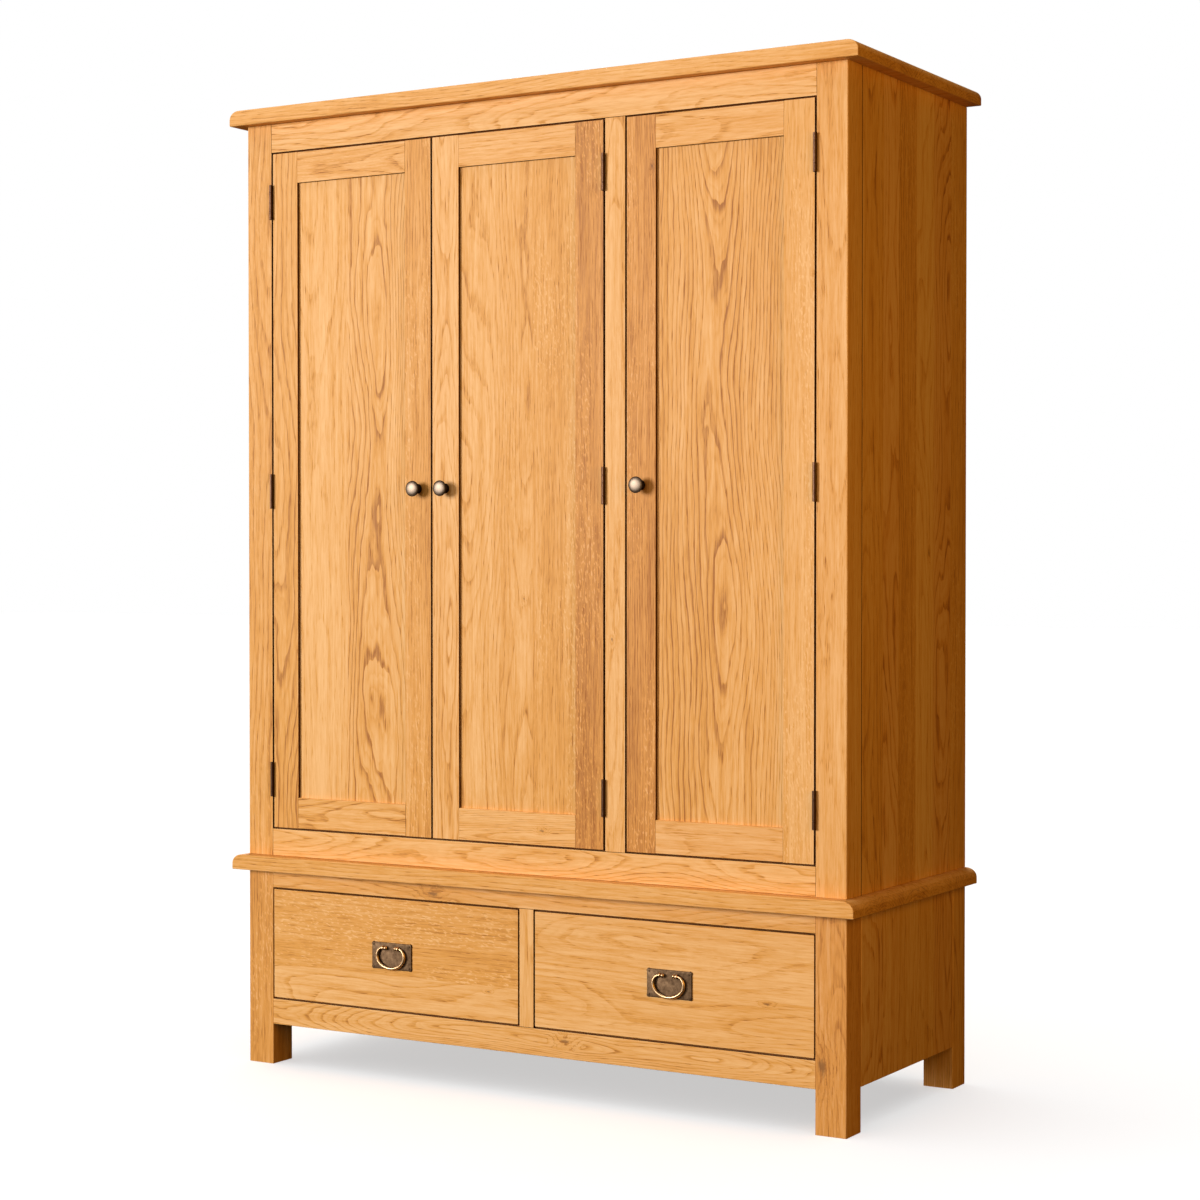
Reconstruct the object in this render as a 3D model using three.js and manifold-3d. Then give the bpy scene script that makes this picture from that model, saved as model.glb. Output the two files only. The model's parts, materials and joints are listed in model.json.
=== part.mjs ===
// Three-door wardrobe on a two-drawer plinth, solid oak with brass fittings.
// Millimetres, +Z up, +X to the right, the front faces -Y.
// The origin is on the floor, under the middle of the whole object.

import * as THREE from "three";
import { mergeVertices } from "three/addons/utils/BufferGeometryUtils.js";
import Module from "manifold-3d";

const wasm = await Module();
wasm.setup();

// ---------------------------------------------------------------- driving dimensions

// Carcass
const HEIGHT = 1900;
const CARCASS_WIDTH = 1318;
const CARCASS_DEPTH = 533;
const SLAB_THICKNESS = 30;
const SLAB_ROUND_WIDTH = 22; // of the quarter round along a slab's left and right upper edges
const SLAB_ROUND_HEIGHT = 18;
const TOP_SIDE_OVERHANG = 29;
const TOP_FRONT_OVERHANG = 22;
const BASE_SIDE_OVERHANG = 24;
const BASE_FRONT_OVERHANG = 25;
const POST = 60; // corner posts and legs are square
const FRAME_THICKNESS = 22; // face frame, doors and side panels
const BACK_THICKNESS = 12;
const SHELF_THICKNESS = 18;

// Heights of the plinth, counted from the floor
const LEG_CLEARANCE = 80;
const BASE_BOTTOM_RAIL = 51;
const DRAWER_OPENING = 222;
const BASE_TOP_RAIL = 34;

// Face frame of the upper half
const BOTTOM_RAIL = 54;
const TOP_RAIL = 57;
const MIDDLE_STILE = 43;

// Doors
const DOOR_BORDER = 61; // width of a door's stiles and rails
const PANEL_SUNK = 6; // the panel's face behind the door's face
const PANEL_THICKNESS = 6;
const PANEL_TONGUE = 8; // how far the panel reaches into its groove
const PANEL_PLAY = 0.5; // around the panel in its groove
const DOOR_GAP = 2.5; // top, bottom and closing edges
const STOP_OVERLAP = 13; // door stops reach this far into the opening
const STOP_THICKNESS = 14;
const STOP_PLAY = 0.5; // between a closed door and its stops
const FLOOR_LIP = 8; // the floor board stands above the bottom rail and stops the doors

// Hinges
const HINGE_HEIGHT = 68.5;
const HINGE_INSET = 64; // from the opening's ends to the outer hinges
const KNUCKLE_RADIUS = 3.5;
const END_KNUCKLE = 15;
const PIN_RADIUS = 1.5;
const PIN_PLAY = 0.4;
const LEAF_THICKNESS = 1;
const LEAF_PLAY = 0.4; // between the two leaves of a closed hinge
const BARREL_STANDOFF = 0.5; // from the barrel back to the face of the door
const LEAF_REACH = 18; // how far a leaf goes in behind the door's face

// Knobs
const KNOB_RADIUS = 15;
const KNOB_REACH = 25;
const KNOB_STEM_RADIUS = 6;

// Inside the upper half
const RAIL_RADIUS = 12.5;
const RAIL_FLANGE_RADIUS = 24;
const RAIL_FLANGE_THICKNESS = 4;
const RAIL_BELOW_TOP = 130;
const SHELF_SETBACK = 10; // shelves start this far behind the posts
const SHELF_COUNT = 2;

// Drawers
const DIVIDER = 32;
const DIVIDER_WEB = 18;
const DRAWER_FRONT_THICKNESS = 20;
const DRAWER_BOX_HEIGHT = 160;
const DRAWER_BACK_ROOM = 60; // between the drawer boxes and the plinth's back
const DRAWER_WALL = 12;
const DRAWER_SIDE_PLAY = 5; // between the drawer box and its opening
const RUNNER_THICKNESS = 18;
const RUNNER_REACH = 24; // how far a runner goes in under the drawer box
const RUNNER_PLAY = 0.5;
const GUIDE_HEIGHT = 20; // the guide stands this far above the runner

// Drawer handles
const PLATE_WIDTH = 94;
const PLATE_HEIGHT = 53;
const PLATE_THICKNESS = 2.5;
const PLATE_BELOW_MIDDLE = 3;
const EYE_SPACING = 35;
const EYE_ABOVE_MIDDLE = 15.8;
const EYE_RADIUS = 4.4;
const EYE_WIDTH = 4;
const EYE_NECK = 5; // height of the neck between plate and eye
const RING_WIDTH = 70;
const RING_RADIUS = 3.2; // half the thickness of the ring's bow
const RING_END_RADIUS = 1.9;
const RING_PLAY = 0.5; // in the eyes
const RING_BALL_RADIUS = 3.6;
const RING_STANDOFF = 0.4; // between the hanging ring and its plate

// Edges and joints
const GLUE_GAP = 0.3; // left between pieces that touch
const EASE = 2; // eased long edges of posts, legs and plates
const FINE_EASE = 1; // and of all other boards
const OVERSHOOT = 1; // how far a cutter stands out of what it cuts

// Facets
const ROUND_STEPS = 5; // along a slab's quarter round
const KNUCKLE_SIDES = 12;
const TURNED_SIDES = 20;
const RING_SIDES = 8;
const RING_STEPS = 24;

// ---------------------------------------------------------------- derived places

const SIDE = CARCASS_WIDTH / 2; // outer faces of the posts
const POST_INNER = SIDE - POST;
const PANEL_INNER = SIDE - FRAME_THICKNESS; // inner faces of the side panels
const BACK_FRONT = CARCASS_DEPTH - BACK_THICKNESS;
const REAR_POST_FRONT = CARCASS_DEPTH - POST;

const DRAWER_BOTTOM = LEG_CLEARANCE + BASE_BOTTOM_RAIL;
const DRAWER_TOP = DRAWER_BOTTOM + DRAWER_OPENING;
const BASE_TOP = DRAWER_TOP + BASE_TOP_RAIL;
const UPPER_BOTTOM = BASE_TOP + SLAB_THICKNESS;
const UPPER_TOP = HEIGHT - SLAB_THICKNESS;
const DOOR_BOTTOM = UPPER_BOTTOM + BOTTOM_RAIL;
const DOOR_TOP = UPPER_TOP - TOP_RAIL;
const DOOR_MIDDLE = (DOOR_BOTTOM + DOOR_TOP) / 2;

// Between a door and the post it hangs on, with both hinge leaves in it.
const HINGE_GAP = 2 * (GLUE_GAP + LEAF_THICKNESS) + LEAF_PLAY;

// The three door bays are equal: two share one opening, the third is beyond the middle stile.
const BAY = (2 * POST_INNER - MIDDLE_STILE) / 3;
const STILE_LEFT = POST_INNER - BAY - MIDDLE_STILE;
const STILE_RIGHT = POST_INNER - BAY;
const STILE_MIDDLE = (STILE_LEFT + STILE_RIGHT) / 2;

const FRONT_REACH = Math.max(TOP_FRONT_OVERHANG, BASE_FRONT_OVERHANG, KNOB_REACH);
const MIDDLE_OF_DEPTH = (CARCASS_DEPTH - FRONT_REACH) / 2;

const STOP_FRONT = FRAME_THICKNESS + STOP_PLAY;
const FLOOR_TOP = DOOR_BOTTOM + FLOOR_LIP;
const HINGE_AXIS_OUT = KNUCKLE_RADIUS + BARREL_STANDOFF;
const PARTITION_LEFT = STILE_MIDDLE - SHELF_THICKNESS / 2;
const PARTITION_RIGHT = STILE_MIDDLE + SHELF_THICKNESS / 2;
const PLATE_FACE = GLUE_GAP + PLATE_THICKNESS; // in front of the drawer's face
const RING_AXIS_OUT = PLATE_FACE + RING_STANDOFF + Math.max(RING_RADIUS, RING_BALL_RADIUS);

// ---------------------------------------------------------------- finishes

const OAK = { color: 0xd79b57, roughness: 0.42, metalness: 0 };
const OAK_PANEL = { color: 0xdca566, roughness: 0.42, metalness: 0 };
const OAK_INSIDE = { color: 0xcf9f68, roughness: 0.6, metalness: 0 };
const AGED_BRASS = { color: 0x7a6448, roughness: 0.38, metalness: 1 };
const HINGE_BRASS = { color: 0x8a6a45, roughness: 0.35, metalness: 1 };
const STEEL = { color: 0xb9bcc0, roughness: 0.28, metalness: 1 };

// ---------------------------------------------------------------- geometry helpers

function prism(points, length) {
  const shape = new THREE.Shape(points.map(([u, v]) => new THREE.Vector2(u, v)));
  return new THREE.ExtrudeGeometry(shape, { depth: length, bevelEnabled: false, curveSegments: 1 });
}

function turnedTo(geometry, u, v, w) {
  const axes = { x: [1, 0, 0], y: [0, 1, 0], z: [0, 0, 1], "-y": [0, -1, 0] };
  const [a, b, c] = [u, v, w].map((axis) => new THREE.Vector3(...axes[axis]));
  return geometry.applyMatrix4(new THREE.Matrix4().makeBasis(a, b, c));
}

// An outline in (y, z), drawn out along x.
function alongX(outline, [x0, x1]) {
  return turnedTo(prism(outline, x1 - x0), "y", "z", "x").translate(x0, 0, 0);
}

// An outline in (x, z), drawn out along y.
function alongY(outline, [y0, y1]) {
  return turnedTo(prism(outline, y1 - y0), "x", "z", "-y").translate(0, y1, 0);
}

// An outline in (x, y), drawn out along z.
function alongZ(outline, [z0, z1]) {
  return prism(outline, z1 - z0).translate(0, 0, z0);
}

// A rectangle with its four corners cut off at 45 degrees.
function easedRectangle([a0, a1], [b0, b1], ease) {
  return [
    [a0 + ease, b0],
    [a1 - ease, b0],
    [a1, b0 + ease],
    [a1, b1 - ease],
    [a1 - ease, b1],
    [a0 + ease, b1],
    [a0, b1 - ease],
    [a0, b0 + ease],
  ];
}

// A board whose long edges, along its grain, are eased.
function board(x, y, z, grain, ease = EASE) {
  if (grain === "x") return alongX(easedRectangle(y, z, ease), x);
  if (grain === "y") return alongY(easedRectangle(x, z, ease), y);
  return alongZ(easedRectangle(x, y, ease), z);
}

function block(x, y, z) {
  const size = [x, y, z].map(([low, high]) => high - low);
  const middle = [x, y, z].map(([low, high]) => (low + high) / 2);
  return new THREE.BoxGeometry(...size).translate(...middle);
}

// A span from a to b in either order, drawn in by a gap at both ends.
function span(a, b, gap = 0) {
  return [Math.min(a, b) + gap, Math.max(a, b) - gap];
}

function cylinder(axis, radius, [low, high], sides) {
  const geometry = new THREE.CylinderGeometry(radius, radius, high - low, sides);
  const middle = (low + high) / 2;
  if (axis === "x") return geometry.rotateZ(Math.PI / 2).translate(middle, 0, 0);
  return geometry.rotateX(Math.PI / 2).translate(0, 0, middle);
}

// A profile of (radius, height) turned about z.
function turned(profile, sides = TURNED_SIDES) {
  const points = profile.map(([radius, height]) => new THREE.Vector2(radius, height));
  return new THREE.LatheGeometry(points, sides).rotateX(Math.PI / 2);
}

// ---------------------------------------------------------------- joining and cutting

function toSolid(geometry) {
  const bare = geometry.index ? geometry.toNonIndexed() : geometry.clone();
  bare.deleteAttribute("normal");
  bare.deleteAttribute("uv");
  const merged = mergeVertices(bare, 1e-4);
  const vertProperties = new Float32Array(merged.attributes.position.array);
  const triVerts = new Uint32Array(merged.index.array);
  return new wasm.Manifold(new wasm.Mesh({ numProp: 3, vertProperties, triVerts }));
}

function toGeometry(solid) {
  const { vertProperties, triVerts } = solid.getMesh();
  const geometry = new THREE.BufferGeometry();
  geometry.setAttribute("position", new THREE.BufferAttribute(vertProperties, 3));
  geometry.setIndex(new THREE.BufferAttribute(triVerts, 1));
  geometry.computeVertexNormals();
  return geometry;
}

function joined(...geometries) {
  const solids = geometries.map(toSolid);
  return toGeometry(solids.reduce((whole, piece) => whole.add(piece)));
}

function cut(geometry, ...cutters) {
  const solids = cutters.map(toSolid);
  return toGeometry(solids.reduce((rest, cutter) => rest.subtract(cutter), toSolid(geometry)));
}

function common(first, second) {
  return toGeometry(toSolid(first).intersect(toSolid(second)));
}

function add(parent, name, geometry, finish) {
  const mesh = new THREE.Mesh(geometry, new THREE.MeshStandardMaterial(finish));
  mesh.name = name;
  parent.add(mesh);
  return mesh;
}

function groupAt(parent, x, y, z) {
  const group = new THREE.Group();
  group.position.set(x, y, z);
  parent.add(group);
  return group;
}

// ---------------------------------------------------------------- slabs

// Points of a slab's quarter round, an elliptical one, starting on the top and ending on the face
// at out * half. out is -1 or 1, the way the edge faces.
function quarterRound(half, top, out) {
  return Array.from({ length: ROUND_STEPS + 1 }, (_, step) => {
    const angle = (step / ROUND_STEPS) * (Math.PI / 2);
    const inward = SLAB_ROUND_WIDTH * (1 - Math.sin(angle));
    return [out * (half - inward), top - SLAB_ROUND_HEIGHT * (1 - Math.cos(angle))];
  });
}

// The slab's upper edge is rounded on both sides, eased on the front and square at the rear.
function mouldedSlab(bottom, sideOverhang, frontOverhang) {
  const top = bottom + SLAB_THICKNESS;
  const half = SIDE + sideOverhang;
  const fromSide = [
    [CARCASS_DEPTH, bottom],
    [CARCASS_DEPTH, top],
    [-frontOverhang + EASE, top],
    [-frontOverhang, top - EASE],
    [-frontOverhang, bottom],
  ];
  const fromFront = [
    [half, bottom],
    ...quarterRound(half, top, 1).reverse(),
    ...quarterRound(half, top, -1),
    [-half, bottom],
  ];
  const lengthways = alongX(fromSide, [-half, half]);
  const crossways = alongY(fromFront, [-frontOverhang, CARCASS_DEPTH]);
  return common(lengthways, crossways);
}

// ---------------------------------------------------------------- plinth

function buildPlinth(carcass) {
  const standing = [0, BASE_TOP - GLUE_GAP];
  const acrossFrame = span(-POST_INNER, POST_INNER, GLUE_GAP);
  const frameDepth = [0, FRAME_THICKNESS];

  for (const [sideName, side] of [["left", -1], ["right", 1]]) {
    const legX = span(side * SIDE, side * POST_INNER);
    add(carcass, `leg_front_${sideName}`, board(legX, [0, POST], standing, "z"), OAK);
    add(carcass, `leg_rear_${sideName}`, board(legX, [REAR_POST_FRONT, CARCASS_DEPTH], standing, "z"), OAK);
    add(carcass, `base_side_${sideName}`, baseSide(side), OAK);
  }
  const bottomRail = board(acrossFrame, frameDepth, [LEG_CLEARANCE, DRAWER_BOTTOM], "x", FINE_EASE);
  const topRail = board(acrossFrame, frameDepth, [DRAWER_TOP, BASE_TOP - GLUE_GAP], "x", FINE_EASE);
  const back = block(acrossFrame, [BACK_FRONT, CARCASS_DEPTH], [LEG_CLEARANCE, BASE_TOP - GLUE_GAP]);
  add(carcass, "base_bottom_rail", bottomRail, OAK);
  add(carcass, "base_top_rail", topRail, OAK);
  add(carcass, "base_back", back, OAK_INSIDE);
  add(carcass, "drawer_divider", drawerDivider(), OAK_INSIDE);
  add(carcass, "base_slab", mouldedSlab(BASE_TOP, BASE_SIDE_OVERHANG, BASE_FRONT_OVERHANG), OAK);
}

// A side panel between two legs, with the drawer's runner and guide glued to its inner face.
function baseSide(side) {
  const low = DRAWER_BOTTOM - RUNNER_THICKNESS;
  const guide = POST_INNER;
  const runner = POST_INNER - RUNNER_REACH;
  const outline = [
    [SIDE - FINE_EASE, LEG_CLEARANCE],
    [SIDE, LEG_CLEARANCE + FINE_EASE],
    [SIDE, BASE_TOP - GLUE_GAP],
    [PANEL_INNER, BASE_TOP - GLUE_GAP],
    [PANEL_INNER, DRAWER_BOTTOM + GUIDE_HEIGHT],
    [guide, DRAWER_BOTTOM + GUIDE_HEIGHT],
    [guide, DRAWER_BOTTOM],
    [runner, DRAWER_BOTTOM],
    [runner, low],
    [PANEL_INNER, low],
    [PANEL_INNER, LEG_CLEARANCE],
  ];
  const mirrored = outline.map(([x, z]) => [side * x, z]);
  return alongY(mirrored, span(POST, REAR_POST_FRONT, GLUE_GAP));
}

// The post between the drawers, the web behind it and the runners on both of its sides.
function drawerDivider() {
  const behindFrame = [FRAME_THICKNESS + GLUE_GAP, BACK_FRONT - GLUE_GAP];
  const runnerHalf = DIVIDER / 2 + RUNNER_REACH;
  const low = DRAWER_BOTTOM - RUNNER_THICKNESS;
  const stileDepth = [0, FRAME_THICKNESS + DIVIDER_WEB]; // it runs back over the web's front
  const stile = block([-DIVIDER / 2, DIVIDER / 2], stileDepth, span(DRAWER_BOTTOM, DRAWER_TOP, GLUE_GAP));
  const web = block([-DIVIDER_WEB / 2, DIVIDER_WEB / 2], behindFrame, [low, BASE_TOP - GLUE_GAP]);
  const runners = block([-runnerHalf, runnerHalf], behindFrame, [low, DRAWER_BOTTOM]);
  return joined(stile, web, runners);
}

// ---------------------------------------------------------------- upper carcass

function buildUpper(carcass) {
  const standing = span(UPPER_BOTTOM, UPPER_TOP, GLUE_GAP);
  const acrossFrame = span(-POST_INNER, POST_INNER, GLUE_GAP);
  const acrossInside = span(-PANEL_INNER, PANEL_INNER, GLUE_GAP);
  const frameDepth = [0, FRAME_THICKNESS];

  for (const [sideName, side] of [["left", -1], ["right", 1]]) {
    const postX = span(side * SIDE, side * POST_INNER);
    const panelX = span(side * SIDE, side * PANEL_INNER);
    const panelDepth = [POST + GLUE_GAP, CARCASS_DEPTH];
    add(carcass, `front_post_${sideName}`, board(postX, [0, POST], standing, "z"), OAK);
    add(carcass, `side_panel_${sideName}`, board(panelX, panelDepth, standing, "z", FINE_EASE), OAK_PANEL);
  }
  const bottomRail = board(acrossFrame, frameDepth, [UPPER_BOTTOM + GLUE_GAP, DOOR_BOTTOM], "x", FINE_EASE);
  const stileX = [STILE_LEFT, STILE_RIGHT];
  const stile = board(stileX, frameDepth, span(DOOR_BOTTOM, DOOR_TOP, GLUE_GAP), "z", FINE_EASE);
  add(carcass, "bottom_rail", bottomRail, OAK);
  add(carcass, "top_rail", topRail(acrossFrame), OAK);
  add(carcass, "middle_stile", stile, OAK);
  add(carcass, "floor_board", floorBoard(), OAK_INSIDE);
  add(carcass, "back_panel", block(acrossInside, [BACK_FRONT, CARCASS_DEPTH], standing), OAK_INSIDE);
  add(carcass, "partition", partition(), OAK_INSIDE);
  buildShelves(carcass);
  buildHangingRail(carcass);
  add(carcass, "top_slab", mouldedSlab(UPPER_TOP, TOP_SIDE_OVERHANG, TOP_FRONT_OVERHANG), OAK);
}

// The top rail with the door stop glued along its back.
function topRail(acrossFrame) {
  const top = UPPER_TOP - GLUE_GAP;
  const stopLow = DOOR_TOP - STOP_OVERLAP;
  const stopBack = STOP_FRONT + STOP_THICKNESS;
  const outline = [
    [0, top],
    [0, DOOR_TOP + FINE_EASE],
    [FINE_EASE, DOOR_TOP],
    [STOP_FRONT, DOOR_TOP],
    [STOP_FRONT, stopLow],
    [stopBack, stopLow],
    [stopBack, top],
  ];
  return alongX(outline, acrossFrame);
}

// The floor board is notched round the front posts.
function floorBoard() {
  const outer = PANEL_INNER - GLUE_GAP;
  const neck = POST_INNER - GLUE_GAP;
  const front = STOP_FRONT;
  const shoulder = POST + GLUE_GAP;
  const rear = BACK_FRONT - GLUE_GAP;
  const outline = [
    [-neck, front],
    [neck, front],
    [neck, shoulder],
    [outer, shoulder],
    [outer, rear],
    [-outer, rear],
    [-outer, shoulder],
    [-neck, shoulder],
  ];
  return alongZ(outline, [FLOOR_TOP - SHELF_THICKNESS, FLOOR_TOP]);
}

// The partition stands behind the middle stile and is notched round the door stop.
function partition() {
  const bottom = FLOOR_TOP + GLUE_GAP;
  const top = UPPER_TOP - GLUE_GAP;
  const front = FRAME_THICKNESS + GLUE_GAP;
  const notchBack = STOP_FRONT + STOP_THICKNESS + GLUE_GAP;
  const notchLow = DOOR_TOP - STOP_OVERLAP - GLUE_GAP;
  const rear = BACK_FRONT - GLUE_GAP;
  const outline = [
    [front, bottom],
    [rear, bottom],
    [rear, top],
    [notchBack, top],
    [notchBack, notchLow],
    [front, notchLow],
  ];
  return alongX(outline, [PARTITION_LEFT, PARTITION_RIGHT]);
}

function buildShelves(carcass) {
  const x = span(PARTITION_RIGHT, PANEL_INNER, GLUE_GAP);
  const y = [POST + SHELF_SETBACK, BACK_FRONT - GLUE_GAP];
  const pitch = (UPPER_TOP - FLOOR_TOP + SHELF_THICKNESS) / (SHELF_COUNT + 1);
  for (let number = 1; number <= SHELF_COUNT; number += 1) {
    const top = FLOOR_TOP + number * pitch;
    const shelf = board(x, y, [top - SHELF_THICKNESS, top], "x", FINE_EASE);
    add(carcass, `shelf_${number}`, shelf, OAK_INSIDE);
  }
}

function buildHangingRail(carcass) {
  const [left, right] = span(-PANEL_INNER, PARTITION_LEFT, GLUE_GAP);
  const middle = (STOP_FRONT + BACK_FRONT) / 2;
  const group = groupAt(carcass, 0, middle, UPPER_TOP - RAIL_BELOW_TOP);
  const rod = cylinder("x", RAIL_RADIUS, [left, right], TURNED_SIDES);
  const flanges = [
    [left, left + RAIL_FLANGE_THICKNESS],
    [right - RAIL_FLANGE_THICKNESS, right],
  ].map((ends) => cylinder("x", RAIL_FLANGE_RADIUS, ends, TURNED_SIDES));
  add(group, "hanging_rail", joined(rod, ...flanges), STEEL);
}

// ---------------------------------------------------------------- hinges

// Both leaves of one butt hinge. The pin's axis is the group's z axis, and side is the way from
// the pin to the door: 1 for a door that reaches towards +x.
function addHinge(parent, name, side) {
  const half = HINGE_HEIGHT / 2;
  const lowEnd = [-half, -half + END_KNUCKLE];
  const highEnd = [half - END_KNUCKLE, half];
  const middle = [lowEnd[1] + GLUE_GAP, highEnd[0] - GLUE_GAP];
  const leafStart = KNUCKLE_RADIUS + GLUE_GAP;
  const leafY = [leafStart, HINGE_AXIS_OUT + LEAF_REACH];
  const tabY = [0, leafStart + LEAF_THICKNESS];
  const inner = LEAF_PLAY / 2;
  const outer = inner + LEAF_THICKNESS;
  const frameX = span(-side * inner, -side * outer);
  const doorX = span(side * inner, side * outer);
  const knuckle = (z) => cylinder("z", KNUCKLE_RADIUS, z, KNUCKLE_SIDES);

  const frameLeaf = joined(
    block(frameX, leafY, [-half, half]),
    ...[lowEnd, highEnd].flatMap((z) => [knuckle(z), block(frameX, tabY, z)]),
    cylinder("z", PIN_RADIUS, [-half, half], KNUCKLE_SIDES),
  );
  const doorLeaf = cut(
    joined(block(doorX, leafY, [-half, half]), knuckle(middle), block(doorX, tabY, middle)),
    cylinder("z", PIN_RADIUS + PIN_PLAY, [-half, half], KNUCKLE_SIDES),
  );
  add(parent, `${name}_frame_leaf`, frameLeaf, HINGE_BRASS);
  add(parent, `${name}_door_leaf`, doorLeaf, HINGE_BRASS);
}

// ---------------------------------------------------------------- doors

// A door in its own group, whose z axis is the hinge line and whose x runs along the door.
// side is 1 when the door reaches towards +x from its hinges.
function addDoor(carcass, name, hingeX, side, width) {
  const group = groupAt(carcass, hingeX, -HINGE_AXIS_OUT, 0);
  const face = HINGE_AXIS_OUT;
  const near = HINGE_GAP / 2;
  const far = near + width;
  const z = span(DOOR_BOTTOM, DOOR_TOP, DOOR_GAP);
  const y = [face, face + FRAME_THICKNESS];
  const light = {
    x: span(side * (near + DOOR_BORDER), side * (far - DOOR_BORDER)),
    z: [z[0] + DOOR_BORDER, z[1] - DOOR_BORDER],
  };
  const grow = ([low, high], by) => [low - by, high + by];
  const panelY = [face + PANEL_SUNK, face + PANEL_SUNK + PANEL_THICKNESS];
  const frame = cut(
    board(span(side * near, side * far), y, z, "z", FINE_EASE),
    block(light.x, grow(y, OVERSHOOT), light.z),
    block(grow(light.x, PANEL_TONGUE), grow(panelY, GLUE_GAP), grow(light.z, PANEL_TONGUE)),
  );
  const reach = PANEL_TONGUE - PANEL_PLAY;
  add(group, `door_${name}_frame`, frame, OAK);
  add(group, `door_${name}_panel`, block(grow(light.x, reach), panelY, grow(light.z, reach)), OAK_PANEL);

  const knobSpot = groupAt(group, side * (far - DOOR_BORDER / 2), face - GLUE_GAP, DOOR_MIDDLE);
  add(knobSpot, `door_${name}_knob`, knob(), AGED_BRASS);

  const inset = HINGE_INSET + HINGE_HEIGHT / 2;
  const levels = { bottom: DOOR_BOTTOM + inset, middle: DOOR_MIDDLE, top: DOOR_TOP - inset };
  for (const [level, height] of Object.entries(levels)) {
    addHinge(groupAt(group, 0, 0, height), `hinge_${name}_${level}`, side);
  }
}

// A mushroom knob whose foot is at the origin and whose head points to -y.
function knob() {
  const reach = KNOB_REACH - GLUE_GAP;
  const rim = reach * 0.78;
  const profile = [
    [0, 0],
    [KNOB_STEM_RADIUS * 1.5, 0],
    [KNOB_STEM_RADIUS * 1.5, reach * 0.08],
    [KNOB_STEM_RADIUS, reach * 0.2],
    [KNOB_STEM_RADIUS, reach * 0.5],
    [KNOB_RADIUS * 0.82, reach * 0.62],
    [KNOB_RADIUS, reach * 0.7],
    [KNOB_RADIUS, rim],
    [KNOB_RADIUS * 0.8, reach * 0.92],
    [KNOB_RADIUS * 0.45, reach * 0.985],
    [0, reach],
  ];
  return turned(profile).rotateX(Math.PI / 2);
}

// ---------------------------------------------------------------- drawers

function addDrawer(carcass, name, side) {
  const opening = span(side * POST_INNER, side * DIVIDER / 2);
  const middle = (opening[0] + opening[1]) / 2;
  const group = groupAt(carcass, middle, 0, 0);
  const half = (opening[1] - opening[0]) / 2;
  const frontZ = span(DRAWER_BOTTOM, DRAWER_TOP, DOOR_GAP);
  const front = board(span(-half, half, DOOR_GAP), [0, DRAWER_FRONT_THICKNESS], frontZ, "x", FINE_EASE);
  add(group, `drawer_${name}_front`, front, OAK);
  add(group, `drawer_${name}_box`, drawerBox(half - DRAWER_SIDE_PLAY), OAK_INSIDE);

  const handleZ = (DRAWER_BOTTOM + DRAWER_TOP) / 2 - PLATE_BELOW_MIDDLE;
  const handle = groupAt(group, 0, 0, handleZ);
  add(handle, `drawer_${name}_plate`, handlePlate(), AGED_BRASS);
  const ringSpot = groupAt(handle, 0, -RING_AXIS_OUT, EYE_ABOVE_MIDDLE);
  add(ringSpot, `drawer_${name}_ring`, dropRing(), AGED_BRASS);
}

// Sides, back and bottom of a drawer; the drawer's front closes it.
function drawerBox(half) {
  const start = DRAWER_FRONT_THICKNESS + GLUE_GAP;
  const end = BACK_FRONT - DRAWER_BACK_ROOM;
  const low = DRAWER_BOTTOM + RUNNER_PLAY;
  const high = low + DRAWER_BOX_HEIGHT;
  const inner = half - DRAWER_WALL;
  const hollowY = [start - OVERSHOOT, end - DRAWER_WALL];
  const hollowZ = [low + DRAWER_WALL, high + OVERSHOOT];
  const hollow = block([-inner, inner], hollowY, hollowZ);
  return cut(block([-half, half], [start, end], [low, high]), hollow);
}

// The back plate with its two eyes.
function handlePlate() {
  const halfWidth = PLATE_WIDTH / 2;
  const halfHeight = PLATE_HEIGHT / 2;
  const neckHeight = [EYE_ABOVE_MIDDLE - EYE_NECK / 2, EYE_ABOVE_MIDDLE + EYE_NECK / 2];
  const onAxis = (geometry) => geometry.translate(0, -RING_AXIS_OUT, EYE_ABOVE_MIDDLE);
  const outline = easedRectangle([-halfWidth, halfWidth], [-halfHeight, halfHeight], EASE);
  const plate = alongY(outline, [-PLATE_FACE, -GLUE_GAP]);
  const eyes = [-1, 1].flatMap((side) => {
    const middle = (side * EYE_SPACING) / 2;
    const width = [middle - EYE_WIDTH / 2, middle + EYE_WIDTH / 2];
    const neck = block(width, [-RING_AXIS_OUT, -GLUE_GAP - PLATE_THICKNESS / 2], neckHeight);
    return [onAxis(cylinder("x", EYE_RADIUS, width, KNUCKLE_SIDES)), neck];
  });
  const bore = cylinder("x", RING_END_RADIUS + RING_PLAY, [-halfWidth, halfWidth], KNUCKLE_SIDES);
  return cut(joined(plate, ...eyes), onAxis(bore));
}

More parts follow.
